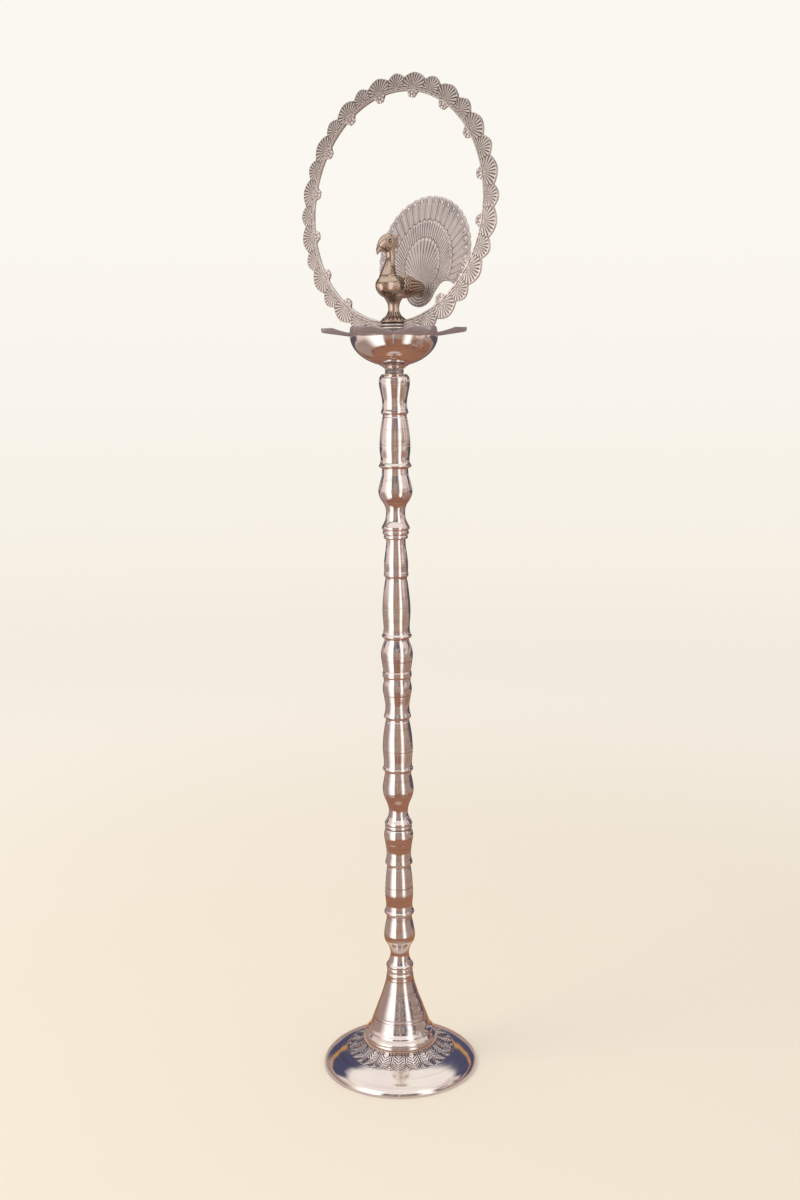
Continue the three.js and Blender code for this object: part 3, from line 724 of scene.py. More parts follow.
# %% The bowl and its flange
LIPS = 6
LIP_TIP_R = 90.7
LIP_NOTCH_R = 62.0
LIP_TURN = 42.5
LIP_RISE = 7.6
LIP_THICKNESS = 1.8
LIP_SLOPE = 0.14
LIP_DROP = 1.2
LIP_CURVE = 1.35
EDGE_TALL = 0.7
RING_ROOM = 0.7
RING_CENTRE_Z = 1054.9
RING_REACH = 166.2
RING_OFFSET = 2.4
BOWL_R = 54.4
BOWL_DEPTH = 38.5
BOWL_WALL = 2.2
MOUTH_R = BOWL_R - BOWL_WALL
SEAT_R = 14.0
THREAD_ROOM = 5.3
BOWL_SIDES = 240
bowl_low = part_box("oil_bowl")[0].z / MM
bowl_bottom = bowl_low + 2.8
bowl_rim = bowl_bottom + BOWL_DEPTH
bowl_floor = bowl_bottom + BOWL_WALL + 1.6
mouth_top = bowl_rim + LIP_THICKNESS


def ellipse(radius, depth, first, last, count):
    """Points of an ellipse below the rim, from one angle below the level to another, in degrees."""
    turn = np.radians(np.linspace(first, last, count))
    return np.stack([radius * np.cos(turn), bowl_rim - depth * np.sin(turn)], -1)


def swung(radius, height, turn):
    """Points from radius and height in mm, with the turn counted from +X."""
    sides = np.broadcast_arrays(radius * np.cos(turn), radius * np.sin(turn), height)
    return np.stack(sides, -1) * MM


def flange(turn, top):
    """The flange's upper or lower face, from the mouth out to the edge. Each lip is a trough. Its
    middle line starts LIP_DROP below the rim and climbs by LIP_SLOPE, and its sides climb with the
    square of the share across. The flange's border climbs from the mouth to the lips' roots, by
    the 1.4 power of the share out, and from there it lies as high as the turning ring leaves room
    for: the ring's lowest point over a radius is its centre's height less the root of its own
    radius squared less that radius squared."""
    from_notch = (turn + np.pi / 2 - np.radians(LIP_TURN)) * LIPS / (2 * np.pi) % 1
    to_tip = 1 - np.abs(2 * from_notch - 1)
    edge = LIP_NOTCH_R + (LIP_TIP_R - LIP_NOTCH_R) * to_tip**LIP_CURVE
    mouth = MOUTH_R if top else BOWL_R
    radius = mouth + (edge - mouth) * np.linspace(0, 1, 48)[:, None] ** 0.8
    tip_share = ramp(radius, LIP_NOTCH_R, LIP_TIP_R - LIP_NOTCH_R) ** (1 / LIP_CURVE)
    across = unit((1 - to_tip) / (1.0001 - tip_share))
    under_ring = RING_CENTRE_Z - np.sqrt(RING_REACH**2 - (radius - RING_OFFSET) ** 2) - RING_ROOM
    middle = bowl_rim - LIP_DROP + np.clip(radius - BOWL_R, 0, None) * LIP_SLOPE
    bed = middle + LIP_THICKNESS
    climb = ramp(radius, mouth, LIP_NOTCH_R - mouth) ** 1.4
    border = bed + np.clip(np.minimum(under_ring, mouth_top + LIP_RISE) - bed, 0, None) * climb
    side = np.clip(border - EDGE_TALL - middle, 0, None) * across**2
    height = middle + side
    if top:
        wall = unit(1.25 - (edge - radius) / 3.0)
        height = bed + side * 0.8
        height = height + (border - height) * wall**2 * (3 - 2 * wall)
    return swung(radius, height, turn)


bowl_outer = outline([
    [[THREAD_ROOM, bowl_low], [12.4, bowl_low]],
    [[12.4, bowl_low + 1.0], [13.4, bowl_low + 1.4]],
    [[14.2, bowl_low + 1.6], [14.2, bowl_low + 2.9]],
    [[15.6, bowl_low + 3.1], [17.2, bowl_low + 3.6]],
    ellipse(BOWL_R, BOWL_DEPTH, 71, 0, 40),
], step=0.7)
bowl_inner = outline([
    ellipse(MOUTH_R, mouth_top - bowl_floor, 0, 74, 36),
    [[SEAT_R, bowl_floor], [THREAD_ROOM, bowl_floor]],
], step=0.9, rounding=0)
bowl_inner[0] = [MOUTH_R, mouth_top]
around = circle(BOWL_SIDES)
top_face, low_face = flange(around, True), flange(around, False)
print("bowl rim at", round(bowl_rim, 1), "mm, lips out to", LIP_TIP_R, "mm")

# %% Close the bowl into shells


def mapped(points, length, hollow=0.0):
    """A surface with a map: the share round, and the metres along, out of a length in mm."""
    rows, columns = points.shape[:2]
    along = np.linspace(0, length * MM, rows)[:, None]
    spots = np.stack(np.broadcast_arrays(np.linspace(0, 1, columns), along), -1)
    return {"points": points, "map": spots, "hollow": hollow}


outer_points = swung(bowl_outer[:, :1], bowl_outer[:, 1:], around)
outer_points[-1] = low_face[0]
inner_points = swung(bowl_inner[:, :1], bowl_inner[:, 1:], around)
inner_points[0] = top_face[0]
edge_points = np.stack([low_face[-1], top_face[-1]])
hole_points = np.stack([inner_points[-1], outer_points[0]])
mouth_points = np.stack([low_face[0], top_face[0]])
oil_bowl = add_piece("oil_bowl_turned", "bowl", polished_brass, [
    mapped(outer_points, 90), mapped(mouth_points, 2),
    mapped(inner_points, 80, 0.25), mapped(hole_points, 4)])
bowl_lips = add_piece("oil_bowl_lips", "bowl", lip_brass, [
    mapped(low_face, 38), mapped(edge_points, 2), mapped(top_face[::-1], 38), mapped(mouth_points, 2)])
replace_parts(oil_bowl, "oil_bowl")
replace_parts(bowl_lips, "oil_bowl")

# %% [markdown]
# Between the stem and the bowl sits a grey collar with two grooves, and in the bowl stands the
# post that lifts the ring above the oil.

# %% The collar and the post
collar_low, collar_high = (corner.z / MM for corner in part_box("bowl_collar"))
collar_tall = collar_high - collar_low
collar_line = outline([[[10.9, 0], [11.7, 0.6]], [[11.7, collar_tall - 0.7], [11, collar_tall]]], step=0.3)
collar_line, collar_cut = scribed(collar_line, [2.2, 4], depth=0.5, width=0.3)
collar_bore = [[THREAD_ROOM, collar_tall], [THREAD_ROOM, 0]]
collar_line, collar_cut = walled(collar_line, collar_cut, collar_bore, dark=0.5)
collar = add_piece("bowl_collar_turned", "bowl", raw_brass,
                   [turned(collar_line, sides=96, base=collar_low * MM, hollow=collar_cut)])
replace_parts(collar, "bowl_collar")

POST_R = 8.6
HOLE_DEPTH = 14.3
post_low, post_high = (corner.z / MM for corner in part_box("centre_post"))
post_tall = post_high - post_low
post_line = outline([
    [[0, HOLE_DEPTH], [THREAD_ROOM, HOLE_DEPTH]],
    [[THREAD_ROOM, 0], [12.6, 0]],
    [[13, 0.6], [13, 2.4]],
    [[12.2, 3.4], [9.6, 4.4], [POST_R, 6]],
    [[POST_R, post_tall - 0.8], [POST_R - 0.8, post_tall]],
    [[THREAD_ROOM, post_tall], [THREAD_ROOM, post_tall - HOLE_DEPTH]],
    [[0, post_tall - HOLE_DEPTH]],
], step=0.8, rounding=0)
post = add_piece("centre_post_turned", "bowl", raw_brass,
                 [turned(post_line, sides=64, base=post_low * MM)])
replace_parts(post, "centre_post")

# %% [markdown]
# ## The ring
#
# The ring is one flat casting. Seen from its middle outwards it has a plain bead, a rope, and a
# border of scallops, large and small in turn, each ribbed like a shell from a point near the rope.
# It is a grid again: one number runs round the ring and the other from the inner edge to the
# border. The relief is a height over that grid, and the back repeats it, softer.

# %% The ring's relief
PITCHES = 16
VALLEY_R = 159.4
INNER_R = VALLEY_R - 17.4
LARGE_SHARE = 0.58
LARGE_RISE = 6.2
SMALL_RISE = 5.8
NOTCH_DEEPER = 0.9
FAN_FOOT_R = INNER_R + 5.6
LARGE_RIBS = 23
SMALL_RIBS = 19
BEAD_END = 2.5
ROPE_END = 5.5
RING_SIDE = -2.4
RING_LEAN = 2.2
ring_centre = VALLEY_R - 12.5
boss_low = post_high + 0.3
boss_high = boss_low + 17
BOSS_R = 18.4
RING_START = (0, boss_low + 15.2)


def leaned(across, proud, up, lean, start):
    """Points of a plane that leans back by lean degrees: up is measured along it from the start
    (y, z) and proud square to it, negative in front. All in mm."""
    slope = np.radians(lean)
    y = start[0] + proud * np.cos(slope) + up * np.sin(slope)
    z = start[1] + up * np.cos(slope) - proud * np.sin(slope)
    return np.stack(np.broadcast_arrays(across, y, z), -1) * MM


def ring_relief(turn, share):
    """Radius, height and shade over the ring. Each scallop's ribs are a cosine of the angle round
    its own foot, and its border is between half an ellipse and a point. The bead and the rope are
    half circles of the distance from the inner edge, and a cosine twists the rope."""
    phase = turn * PITCHES / (2 * np.pi)
    to_small = np.abs((phase + 0.5) % 1 - 0.5)
    small = to_small < (1 - LARGE_SHARE) / 2
    across = np.where(small, to_small / ((1 - LARGE_SHARE) / 2), (0.5 - to_small) / (LARGE_SHARE / 2))
    rise = NOTCH_DEEPER + np.where(small, SMALL_RISE, LARGE_RISE)
    edge = VALLEY_R - NOTCH_DEEPER + rise * (0.8 * (1 - across**2) + 0.2 * (1 - across))
    radius = INNER_R + (edge - INNER_R) * share
    middle = np.where(small, np.round(phase), np.floor(phase) + 0.5)
    aside = (phase - middle) * 2 * np.pi / PITCHES
    foot = np.where(small, FAN_FOOT_R + 2.5, FAN_FOOT_R - 1)
    along, out = radius * np.sin(aside), radius * np.cos(aside) - foot
    ribs = wave(np.where(small, SMALL_RIBS, LARGE_RIBS) * np.arctan2(along, out + 0.6))
    ribs = 1 - (1 - ribs) ** 1.4
    depth = radius - INNER_R
    out_share = ramp(radius, FAN_FOOT_R, edge - FAN_FOOT_R)
    hem = ramp(out_share, 0.9, 0.06)
    fan = 0.8 + 0.4 * (1 - across**4) + 0.42 * (ribs * (1 - hem) + 0.6 * hem) - 0.5 * out_share**20
    crease = ramp(across, 0.9, 0.1) * 0.7
    fan_shade = np.maximum(0.9 * (1 - ribs) * (1 - hem) + 0.25 * hem, crease)
    twist = wave(2 * np.pi * PITCHES * (phase % 1) + depth * 1.9)
    rope_round = arc(depth, 4.0, 1.4)
    rope = 0.5 + 0.8 * rope_round * (0.65 + 0.35 * twist)
    rope_shade = 0.8 - rope_round * (0.3 + 0.5 * twist)
    bead = 0.45 + 1.15 * arc(depth, 1.2, 1.2)
    bead_shade = unit(0.8 - 0.8 * arc(depth, 1.2, 1.3))
    height = np.where(depth < BEAD_END, bead, np.where(depth < ROPE_END, rope, fan))
    shade = np.where(depth < BEAD_END, bead_shade, np.where(depth < ROPE_END, rope_shade, fan_shade))
    return radius, height, shade


print("ring:", PITCHES, "scallops of each size, inner radius", round(INNER_R, 1), "mm")

# %% The ring's front, back and edges
def on_ring(radius, turn, proud):
    """Points of the ring, which leans and stands a little to one side."""
    across, up = RING_SIDE + radius * np.sin(turn), ring_centre + radius * np.cos(turn)
    return leaned(across, proud, up, RING_LEAN, RING_START)


def ring_face(turn, share, side, softness, lift):
    """One face of the ring. Side is -1 for the front and 1 for the back. At the bottom the ring
    stays below the top of the boss, and above the post."""
    radius, height, shade = ring_relief(turn, share)
    points = on_ring(radius, turn, side * (0.35 + lift + height * softness))
    across = np.abs(RING_SIDE + radius * np.sin(turn))
    tall = points[..., 2]
    near_boss = (np.cos(turn) < 0) & (across < BOSS_R - 0.4)
    tall = np.where(near_boss, np.minimum(tall, (boss_high - 0.6) * MM), tall)
    near_post = (np.cos(turn) < 0) & (across < POST_R + 1.6)
    points[..., 2] = np.where(near_post, np.maximum(tall, (boss_low + 0.4) * MM), tall)
    return mapped(points, 24, shade)


ring_turn = circle(PITCHES * 96)
ring_share = np.linspace(0, 1, 34)[:, None] ** 0.9
front = ring_face(ring_turn, ring_share, -1, 1.0, 0.0)
rear = ring_face(ring_turn, ring_share, 1, 0.35, 0.8)
ring = add_piece("ring_scalloped", "arch", cast_brass,
                 [front, rear, *rims(front["points"], rear["points"], 0.35)])
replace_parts(ring, "arch_ring")

# %% [markdown]
# Fourteen small leaves hang inside the ring, one under each large scallop, and a turned boss
# at the bottom takes the peacock's screw. Only the top of the boss is polished.

# %% Leaves and boss
LEAF_REACH = 7.8
LEAF_HALF = 9.4
LEAF_ROOT = 1.2
LEAF_RIBS = 11


def leaf(turn):
    """The surfaces of a leaf under a scallop, on a grid across and inwards. It narrows inwards, its
    end is the square root of one minus the fourth power of the share across, with three lobes, and
    its ribs are a cosine of the angle round a point behind its root, which is a bead."""
    across = np.linspace(-1, 1, 41)
    share = np.linspace(0, 1, 20)[:, None]
    end = LEAF_REACH * np.sqrt(1 - across**4) * (0.95 + 0.05 * np.cos(3 * np.pi * across))
    inward = -LEAF_ROOT + share * (end + LEAF_ROOT)
    aside = across * LEAF_HALF * (1 - 0.30 * share**1.5)
    ribs = wave(LEAF_RIBS * np.arctan2(aside, inward + 4.0))
    from_root = np.hypot(aside, inward - 0.8)
    root = bell(from_root, 0, 1.5)
    hem = np.maximum(share**6, across**10)
    height = 1.3 + 0.45 * ribs * (1 - root) + 0.7 * root - 0.8 * hem
    shade = unit(0.45 * (1 - ribs) - root) + 0.6 * bell(from_root, 2.6, 0.6)
    swing = turn + aside / INNER_R
    first, second = (on_ring(INNER_R - inward, swing, side * (0.3 + tall))
                     for side, tall in ((-1, height), (1, height * 0.4 + 0.5)))
    faces = [{"points": points, "hollow": unit(shade)} for points in (first, second)]
    return [*faces, *rims(first, second, 0.5), *rims(first.swapaxes(0, 1), second.swapaxes(0, 1), 0.5)]


leaves = []
for step in range(PITCHES):
    middle = (step + 0.5) * 2 * np.pi / PITCHES
    if abs(middle - np.pi) > 2 * np.pi / PITCHES:
        leaves += leaf(middle)
add_piece("ring_leaves", "arch", cast_brass, leaves)

BRASS_LOW = boss_high - 7.0
boss_rough = outline([
    [[THREAD_ROOM, boss_low], [17.4, boss_low]],
    [[18, boss_low + 0.6], [18, boss_low + 4.2]],
    [[17.4, boss_low + 4.8], [17.4, boss_low + 5.6]],
    [[17.9, boss_low + 6.2], [17.9, BRASS_LOW]],
    [[THREAD_ROOM, BRASS_LOW]],
], step=0.5)
boss_rough = np.concatenate([boss_rough, boss_rough[:1]])
add_piece("ring_boss_rough", "arch", raw_brass, [turned(boss_rough, sides=120)])
boss_line = outline([
    [[THREAD_ROOM, BRASS_LOW + 0.02], [17.5, BRASS_LOW + 0.02]],
    [[18.3, BRASS_LOW + 0.9], [BOSS_R, BRASS_LOW + 2.0], [17.8, BRASS_LOW + 3.0]],
    [[16.5, BRASS_LOW + 3.6], [16.5, BRASS_LOW + 4.2]],
    [[17.6, BRASS_LOW + 4.9], [17.7, boss_high - 0.9], [17, boss_high]],
    [[THREAD_ROOM, boss_high]],
], step=0.4)
boss_line = np.concatenate([boss_line, boss_line[:1]])
boss_cut = ramp(boss_line[:, 0], BOSS_R - 1.0, -0.7)
add_piece("ring_boss", "arch", cast_brass, [turned(boss_line, sides=120, hollow=boss_cut)])

# %% [markdown]
# ## The peacock's tail
#
# The tail is a flat fan behind the bird. Three tiers of feathers lie over each other like roof
# tiles, all radiating from a point low on the bird's back, and the outer tier ends in rounded tips
# with small eyes. A round lobe with hatched rings hangs below. The two inner tiers have a few wide
# barbs in their relief. The narrow ones are finer than the grid, so the finish draws them, from a
# map that counts feathers.

# %% The tail's relief
FEATHERS = 27
FAN_R = 75.2
FAN_UP = 42.6
FAN_END = 125
FEATHER_TURN = 2 * FAN_END / FEATHERS
LOBE_R = 24
TAIL_LEAN = 9.3
TAIL_BACK = 48.0
SPREAD_UP = 4.0
seat = boss_high + 0.3
body_z = seat + 46
TAIL_START = (TAIL_BACK, body_z - 0.4)

# Below the feathers the edge falls steeply, runs in past a notch on each side, and ends on the lobe
NOTCH_TURN = [125, 125.6, 126.4, 128.6, 132, 135, 140, 145.4, 150, 154.8]
NOTCH_R = [75.2, 71, 62, 56, 51.8, 50.3, 49.4, 50.3, 52, 54.3]


def fan_edge(turn):
    """Radius of the fan's edge for an angle from straight up, in degrees, either way round."""
    away = np.abs(turn)
    tip = FAN_R + 1.6 * np.abs(np.sin(np.pi * (turn + FAN_END) * FEATHERS / (2 * FAN_END))) ** 0.8
    down = np.radians(180 - np.maximum(away, NOTCH_TURN[-1]))
    lobe = FAN_UP * np.cos(down) + np.sqrt(np.clip(LOBE_R**2 - (FAN_UP * np.sin(down)) ** 2, 0, None))
    notch = np.interp(away, NOTCH_TURN, NOTCH_R)
    return np.where(away < FAN_END, tip, np.where(away < NOTCH_TURN[-1], notch, lobe))


INNER_TIER = {"half_width": 28, "low": -3, "high": 64, "size": 30}
MIDDLE_TIER = {"half_width": 48, "low": -22, "high": 87, "size": 50}
EYE_IN = 6.4
LOBE_PITCH = 3.8


def tier(across, up, half_width, low, high, size):
    """About how many mm inside an oval a point is: its size at its middle and 0 on its edge."""
    return (1 - np.hypot(across / half_width, (up - (low + high) / 2) / ((high - low) / 2))) * size


def tail_relief(across, up, to_edge):
    """Height in mm, shade and count of feathers over the tail. To_edge is the distance to the fan's
    edge in mm. A feather is counted where a line from the spread point meets the fan's circle. Each
    tier is a step at the edge of an oval, scalloped by a cosine of the count. Shafts, gaps and the
    rings of an eye are bell curves, and barbs, the lobe's rings and its hatching are cosines."""
    swing = np.arctan2(across, up - SPREAD_UP)
    below = (SPREAD_UP - FAN_UP) * np.cos(swing)
    run = np.sqrt(below**2 - (SPREAD_UP - FAN_UP) ** 2 + FAN_R**2) - below
    meets = np.arctan2(run * np.sin(swing), SPREAD_UP - FAN_UP + run * np.cos(swing))
    feathers = (np.degrees(meets) + FAN_END) / FEATHER_TURN
    feather = feathers % 1 - 0.5
    shaft = bell(np.abs(feather), 0.24, 0.05)
    gap = bell(np.abs(feather), 0.5, 0.08)
    scallop = 2.0 * np.abs(np.cos(np.pi * feathers)) - 1.0
    inner = tier(across, up, **INNER_TIER) + scallop
    middle = tier(across, up, **MIDDLE_TIER) + scallop
    outer = (middle < 0) & (up > -2)
    barbs = wave(np.where(inner > 0, 2, 4) * np.pi * feathers)
    height = 1.1 + 0.5 * ramp(middle, 0, 0.9) + 0.55 * ramp(inner, 0, 0.9)
    height += 0.30 * bell(middle, 1.2, 0.9) + 0.30 * bell(inner, 1.2, 0.9)
    height += np.where(outer, -0.10 * shaft - 0.22 * gap, 0.30 * barbs)
    shade = 0.2 + np.where(outer, 0.6 * gap + 0.32 * shaft - 0.1, 0.85 * (0.5 - barbs) + 0.1)
    shade += 0.55 * bell(middle, -0.7, 0.8) + 0.55 * bell(inner, -0.7, 0.8)
    shade -= 0.35 * bell(middle, 1.2, 1.0) + 0.35 * bell(inner, 1.2, 1.0)
    eye_out = np.hypot(feather * np.radians(FEATHER_TURN) * FAN_R, to_edge - EYE_IN)
    eye = bell(eye_out, 2.6, 0.7) - bell(eye_out, 1.4, 0.6) + bell(eye_out, 0, 0.7)
    height += np.where(outer, 0.35 * eye, 0)
    shade += np.where(outer, 0.6 * bell(eye_out, 2.7, 0.6) - 0.3 * bell(eye_out, 1.2, 0.9), 0)
    rim = bell(to_edge, 1.0, 0.8)
    height += 0.3 * rim - 0.5 * bell(to_edge, 0, 0.5)
    shade -= 0.25 * rim
    lobe = np.hypot(across, up)
    on_lobe = ramp(lobe, LOBE_R + 3, -3) * ramp(up, 12, -8)
    rings = wave(2 * np.pi * (lobe - 1.5) / LOBE_PITCH)
    hatch = wave(40 * np.arctan2(across, -up))
    height += on_lobe * (0.3 * rings + 0.2 * hatch - 0.2)
    shade = shade * (1 - on_lobe) + on_lobe * unit(0.75 - 0.5 * rings - 0.35 * hatch)
    return height, unit(shade), feathers


print("tail:", FEATHERS, "feathers over", 2 * FAN_END, "degrees, lobe", 2 * LOBE_R, "mm across")

# %% The tail's faces
REAR_PROUD = 3.3
MIDDLE_PROUD = 2.1
MIDDLE_RELIEF = 1.7
tail_turn = np.linspace(-180, 180, 720 + 1)
tail_share = np.linspace(0, 1, 110)[:, None] ** 0.8
tail_edge = fan_edge(tail_turn)
tail_across = tail_share * tail_edge * np.sin(np.radians(tail_turn))
tail_up = FAN_UP + tail_share * tail_edge * np.cos(np.radians(tail_turn))
tail_high, tail_shade, tail_feathers = tail_relief(tail_across, tail_up, (1 - tail_share) * tail_edge)
barb_map = np.stack([tail_feathers, np.hypot(tail_across, tail_up - SPREAD_UP) * MM], -1)
near_bird = bell(np.hypot(tail_across, tail_up), 0, 13)
front_proud = MIDDLE_PROUD - tail_high * (1 - near_bird) - MIDDLE_RELIEF * near_bird
rear_proud = REAR_PROUD - 0.4 * bell(tail_share, 1, 0.02)
tail_front, tail_rear = (leaned(tail_across, proud, tail_up, TAIL_LEAN, TAIL_START)
                         for proud in (front_proud, rear_proud))
print("tail relief from", round(float(tail_high.min()), 2), "to", round(float(tail_high.max()), 2), "mm")

# %% [markdown]
# ## The bird
#
# The bird is modelled as a founder does it in wax: rough forms pressed together, smoothed into
# one skin, and then cut with a knife. The forms are lofts through ovals. Blender's voxel remesh
# joins them, and the cuts are heights added along each point's normal: long curved feathers on the
# wings, scales at the root of the neck, beads round the head, and leaves on the pedestal.

# %% Press the forms together
LOFT_STEP = 1.0
TIP_HALF = 0.02


def loft(knots, offset=0.0, sides=48):
    """A closed skin through ovals [y, height over the body's middle, half width, half height],
    each square to the path in the plane x = offset."""
    knots = np.asarray(knots, float)
    tips = knots[[0, -1]]
    tips[:, 2:] = TIP_HALF
    middle = curve_through(knots, LOFT_STEP)
    path = np.concatenate([tips[:1], middle, tips[1:]])
    ahead = np.gradient(middle[:, :2], axis=0)
    ahead /= np.linalg.norm(ahead, axis=1, keepdims=True)
    ahead = np.concatenate([ahead[:1], ahead, ahead[-1:]])
    turn = circle(sides)
    rise = path[:, 3:] * np.sin(turn)
    x = offset + path[:, 2:3] * np.cos(turn)
    y = path[:, :1] - ahead[:, 1:] * rise
    z = body_z + path[:, 1:2] + ahead[:, :1] * rise
    return np.stack([x, y, z], -1) * MM


BODY = [[53, -3.4, 4.4, 5], [40, -2.4, 9, 9], [24, -1.4, 13, 12.4], [6, -0.4, 15.4, 14.8],
        [-8, 0, 15.4, 15.4], [-18, 0.4, 12.2, 12.6], [-25, 0.4, 7, 7.4], [-27.4, 0.4, 2, 2]]
NECK = [[-6, -2, 11, 11], [-9, 9, 10.6, 13], [-8, 18.6, 8.4, 9.6], [-6, 27, 6.6, 6.8],
        [-4.8, 36, 5.6, 5.8], [-5.6, 45, 6, 6.4]]
HEAD = [[3, 55.6, 2.4, 4], [0.4, 55, 5.2, 8.2], [-6, 53.4, 7.2, 11.4], [-14, 51.8, 6.4, 10.8],
        [-20, 49, 4.6, 8], [-24.6, 45, 3, 5], [-27.6, 40.6, 1.7, 2.4], [-27.4, 37.6, 0.6, 0.9]]
WING = [[-7, 2, 1.6, 4], [-2, 2.4, 4.6, 8.6], [3, 2.6, 6.0, 10.6], [10, 2.6, 6.8, 11.6],
        [22, 1.2, 6.6, 10], [34, 0, 5.2, 7.4], [44, -1, 2.4, 3.6]]
WING_OUT = 10.4
CRESTS = [[[0, 57, 1.6, 2], [6, 62 - 3 * k, 1.8, 2.0], [10 - 0.6 * k, 64 - 6 * k, 1.2, 1.4]]
          for k in range(4)]
pedestal_line = outline([
    [[0.01, 0], [14.5, 0]],
    [[16.9, 1.4], [17.5, 2.4], [17, 3.6]],
    [[15.1, 4.2], [14.2, 5.8], [10, 9], [7.6, 13.4], [6.9, 19], [7.8, 25], [11, 31], [13, 35]],
    [[0.01, 37]],
], step=0.7)
forms = [loft(BODY), loft(NECK), loft(HEAD), loft(WING, -WING_OUT), loft(WING, WING_OUT)]
forms.append(turned(pedestal_line, sides=96, base=seat * MM)["points"])
forms += [loft(crest, sides=24) for crest in CRESTS]
print(len(forms), "forms for the bird")

# %% One skin
VOXEL = 0.00055
SOFTENING = 9


def pressed(forms):
    """The mesh of one closed skin round all the forms, made by voxel remesh and smoothed."""
    mesh, _ = mesh_of("bird_forms", forms)
    weld_mesh(mesh, 1e-6)
    rough = placed("bird_forms", mesh)
    remesh = rough.modifiers.new("one_skin", "REMESH")
    remesh.mode = "VOXEL"
    remesh.voxel_size = VOXEL
    smooth = rough.modifiers.new("smooth", "SMOOTH")
    smooth.factor = 0.5
    smooth.iterations = SOFTENING
    skin = bpy.data.meshes.new_from_object(rough.evaluated_get(bpy.context.evaluated_depsgraph_get()))
    bpy.data.objects.remove(rough)
    return skin


def rows_of(values, field):
    """A vector of each point of a mesh, in rows."""
    found = np.empty(len(values) * 3, np.float32)
    values.foreach_get(field, found)
    return found.reshape(-1, 3).astype(float)


bird_skin = pressed(forms)
place, normal = rows_of(bird_skin.vertices, "co"), rows_of(bird_skin.vertex_normals, "vector")
print("skin:", len(place), "points")

# %% Cut the feathers
bird_x, bird_y, bird_up = place[:, 0] / MM, place[:, 1] / MM, place[:, 2] / MM - body_z

WING_TIP = 54
LONG_PITCH = 6.5
ROW_PITCH = 4.2


def wing_cuts():
    """Height and shade of the wings' feathers. Long ridges spread forwards from a point behind the
    wing's tip, as a cosine of the angle round it, bent by the square of the distance. Short rows
    cross them on the shoulder, as a cosine of that distance, and a lip runs round the wing."""
    side = ramp(np.abs(bird_x), 8.5, 3)
    back = bird_y - 17
    measure = np.hypot(back / np.where(back < 0, 22, 34), (bird_up - 1.5) / 12.5)
    on_wing = side * ramp(measure, 1.0, -0.08)
    ahead = WING_TIP - bird_y
    distance = np.hypot(ahead, bird_up + 3)
    spread = 2 * np.pi * np.degrees(np.arctan2(bird_up + 3 + 0.0035 * ahead**2 - 3.5, ahead)) / LONG_PITCH
    rows = np.abs(np.cos(np.pi * (distance / ROW_PITCH + 0.25 * np.cos(spread))))
    shoulder = ramp(distance, 40, 3)
    ridge = (np.abs(np.cos(spread / 2)) * (1 - shoulder) + shoulder * rows) ** 0.7
    barbs = wave(bird_y * 3.2 + bird_up * 2.4)
    height = on_wing * (0.95 * ridge - 0.5 + 0.10 * barbs) + 0.5 * side * bell(measure, 1.03, 0.04)
    return height, unit(on_wing * (1.25 - 1.3 * ridge + 0.2 * barbs))


def scales():
    """Height and shade of small round scales between the breast and the wing, in staggered rows. A
    scale is the product of one cosine along its row and one across it."""
    row = bird_up / 2.1
    column = bird_y / 2.4 + 0.5 * (np.floor(row) % 2)
    dot = np.cos(np.pi * (column % 1 - 0.5)) * np.cos(np.pi * (row % 1 - 0.5))
    where = within(bird_y + 0.25 * (bird_up - 10), -8.5, 2.5, 1.5) * within(bird_up, -7, 27, 3)
    where = where * ramp(np.abs(bird_x), 3.5, 2) * (bird_y < 1.5)
    return where * (1.1 * dot**0.8 - 0.6), where * unit(1.3 - 1.5 * dot)


def head_cuts():
    """Height and shade of a row of beads round the head, as a cosine of the angle, of an eye in a
    ring on each side, and of the line of the beak. All are cut by bell curves of a distance."""
    on_head = ramp(bird_up, 42, 2)
    eye_out = np.hypot(bird_y + 12, bird_up - 54.5) + 8 * (np.abs(bird_x) < 3)
    eye = bell(eye_out, 0, 1.3) + 0.7 * bell(eye_out, 3.3, 0.6)
    hood = np.hypot(bird_y + 9, bird_up - 51)
    beads = bell(hood, 8.2, 0.8) * wave(26 * np.arctan2(bird_up - 51, bird_y + 9))
    mouth = bell((bird_up - 45.0) + 0.35 * (bird_y + 20), 0, 0.5) * (bird_y < -15)
    height = on_head * (1.0 * eye + 0.9 * beads - 0.7 * mouth)
    ring_dark = bell(eye_out, 1.9, 0.7) + bell(hood, 9.6, 0.7) * 0.6 + bell(hood, 6.8, 0.7) * 0.5
    return height, on_head * unit(ring_dark + mouth)


def pedestal_cuts():
    """Height and shade of narrow leaves on the lower cone, as a cosine of the turn, with fine lines
    across them, as a cosine of the turn and the height."""
    above = bird_up + 46
    turn = np.arctan2(bird_y, bird_x)
    fine = wave(72 * turn + above * 2.5)
    where = within(above, 3.8, 15, 1.2)
    leaves = np.abs(np.cos(9 * turn)) ** 0.6
    return where * (0.8 * leaves + 0.15 * fine - 0.5), where * unit(1.2 - leaves + 0.2 * fine)


cuts = [wing_cuts(), scales(), head_cuts(), pedestal_cuts()]
seated = unit(bird_up + 45.6) * ramp(bird_y, TAIL_BACK - 1.5, -2)
cut_height = sum(height for height, _ in cuts) * seated
# The shade of the cuts, plus painted shade on faces that look down.
bird_shade = unit(sum(shade for _, shade in cuts) + unit(-normal[:, 2]) * 0.25)
place += normal * cut_height[:, None] * MM
print("cuts from", round(float(cut_height.min()), 2), "to", round(float(cut_height.max()), 2), "mm")

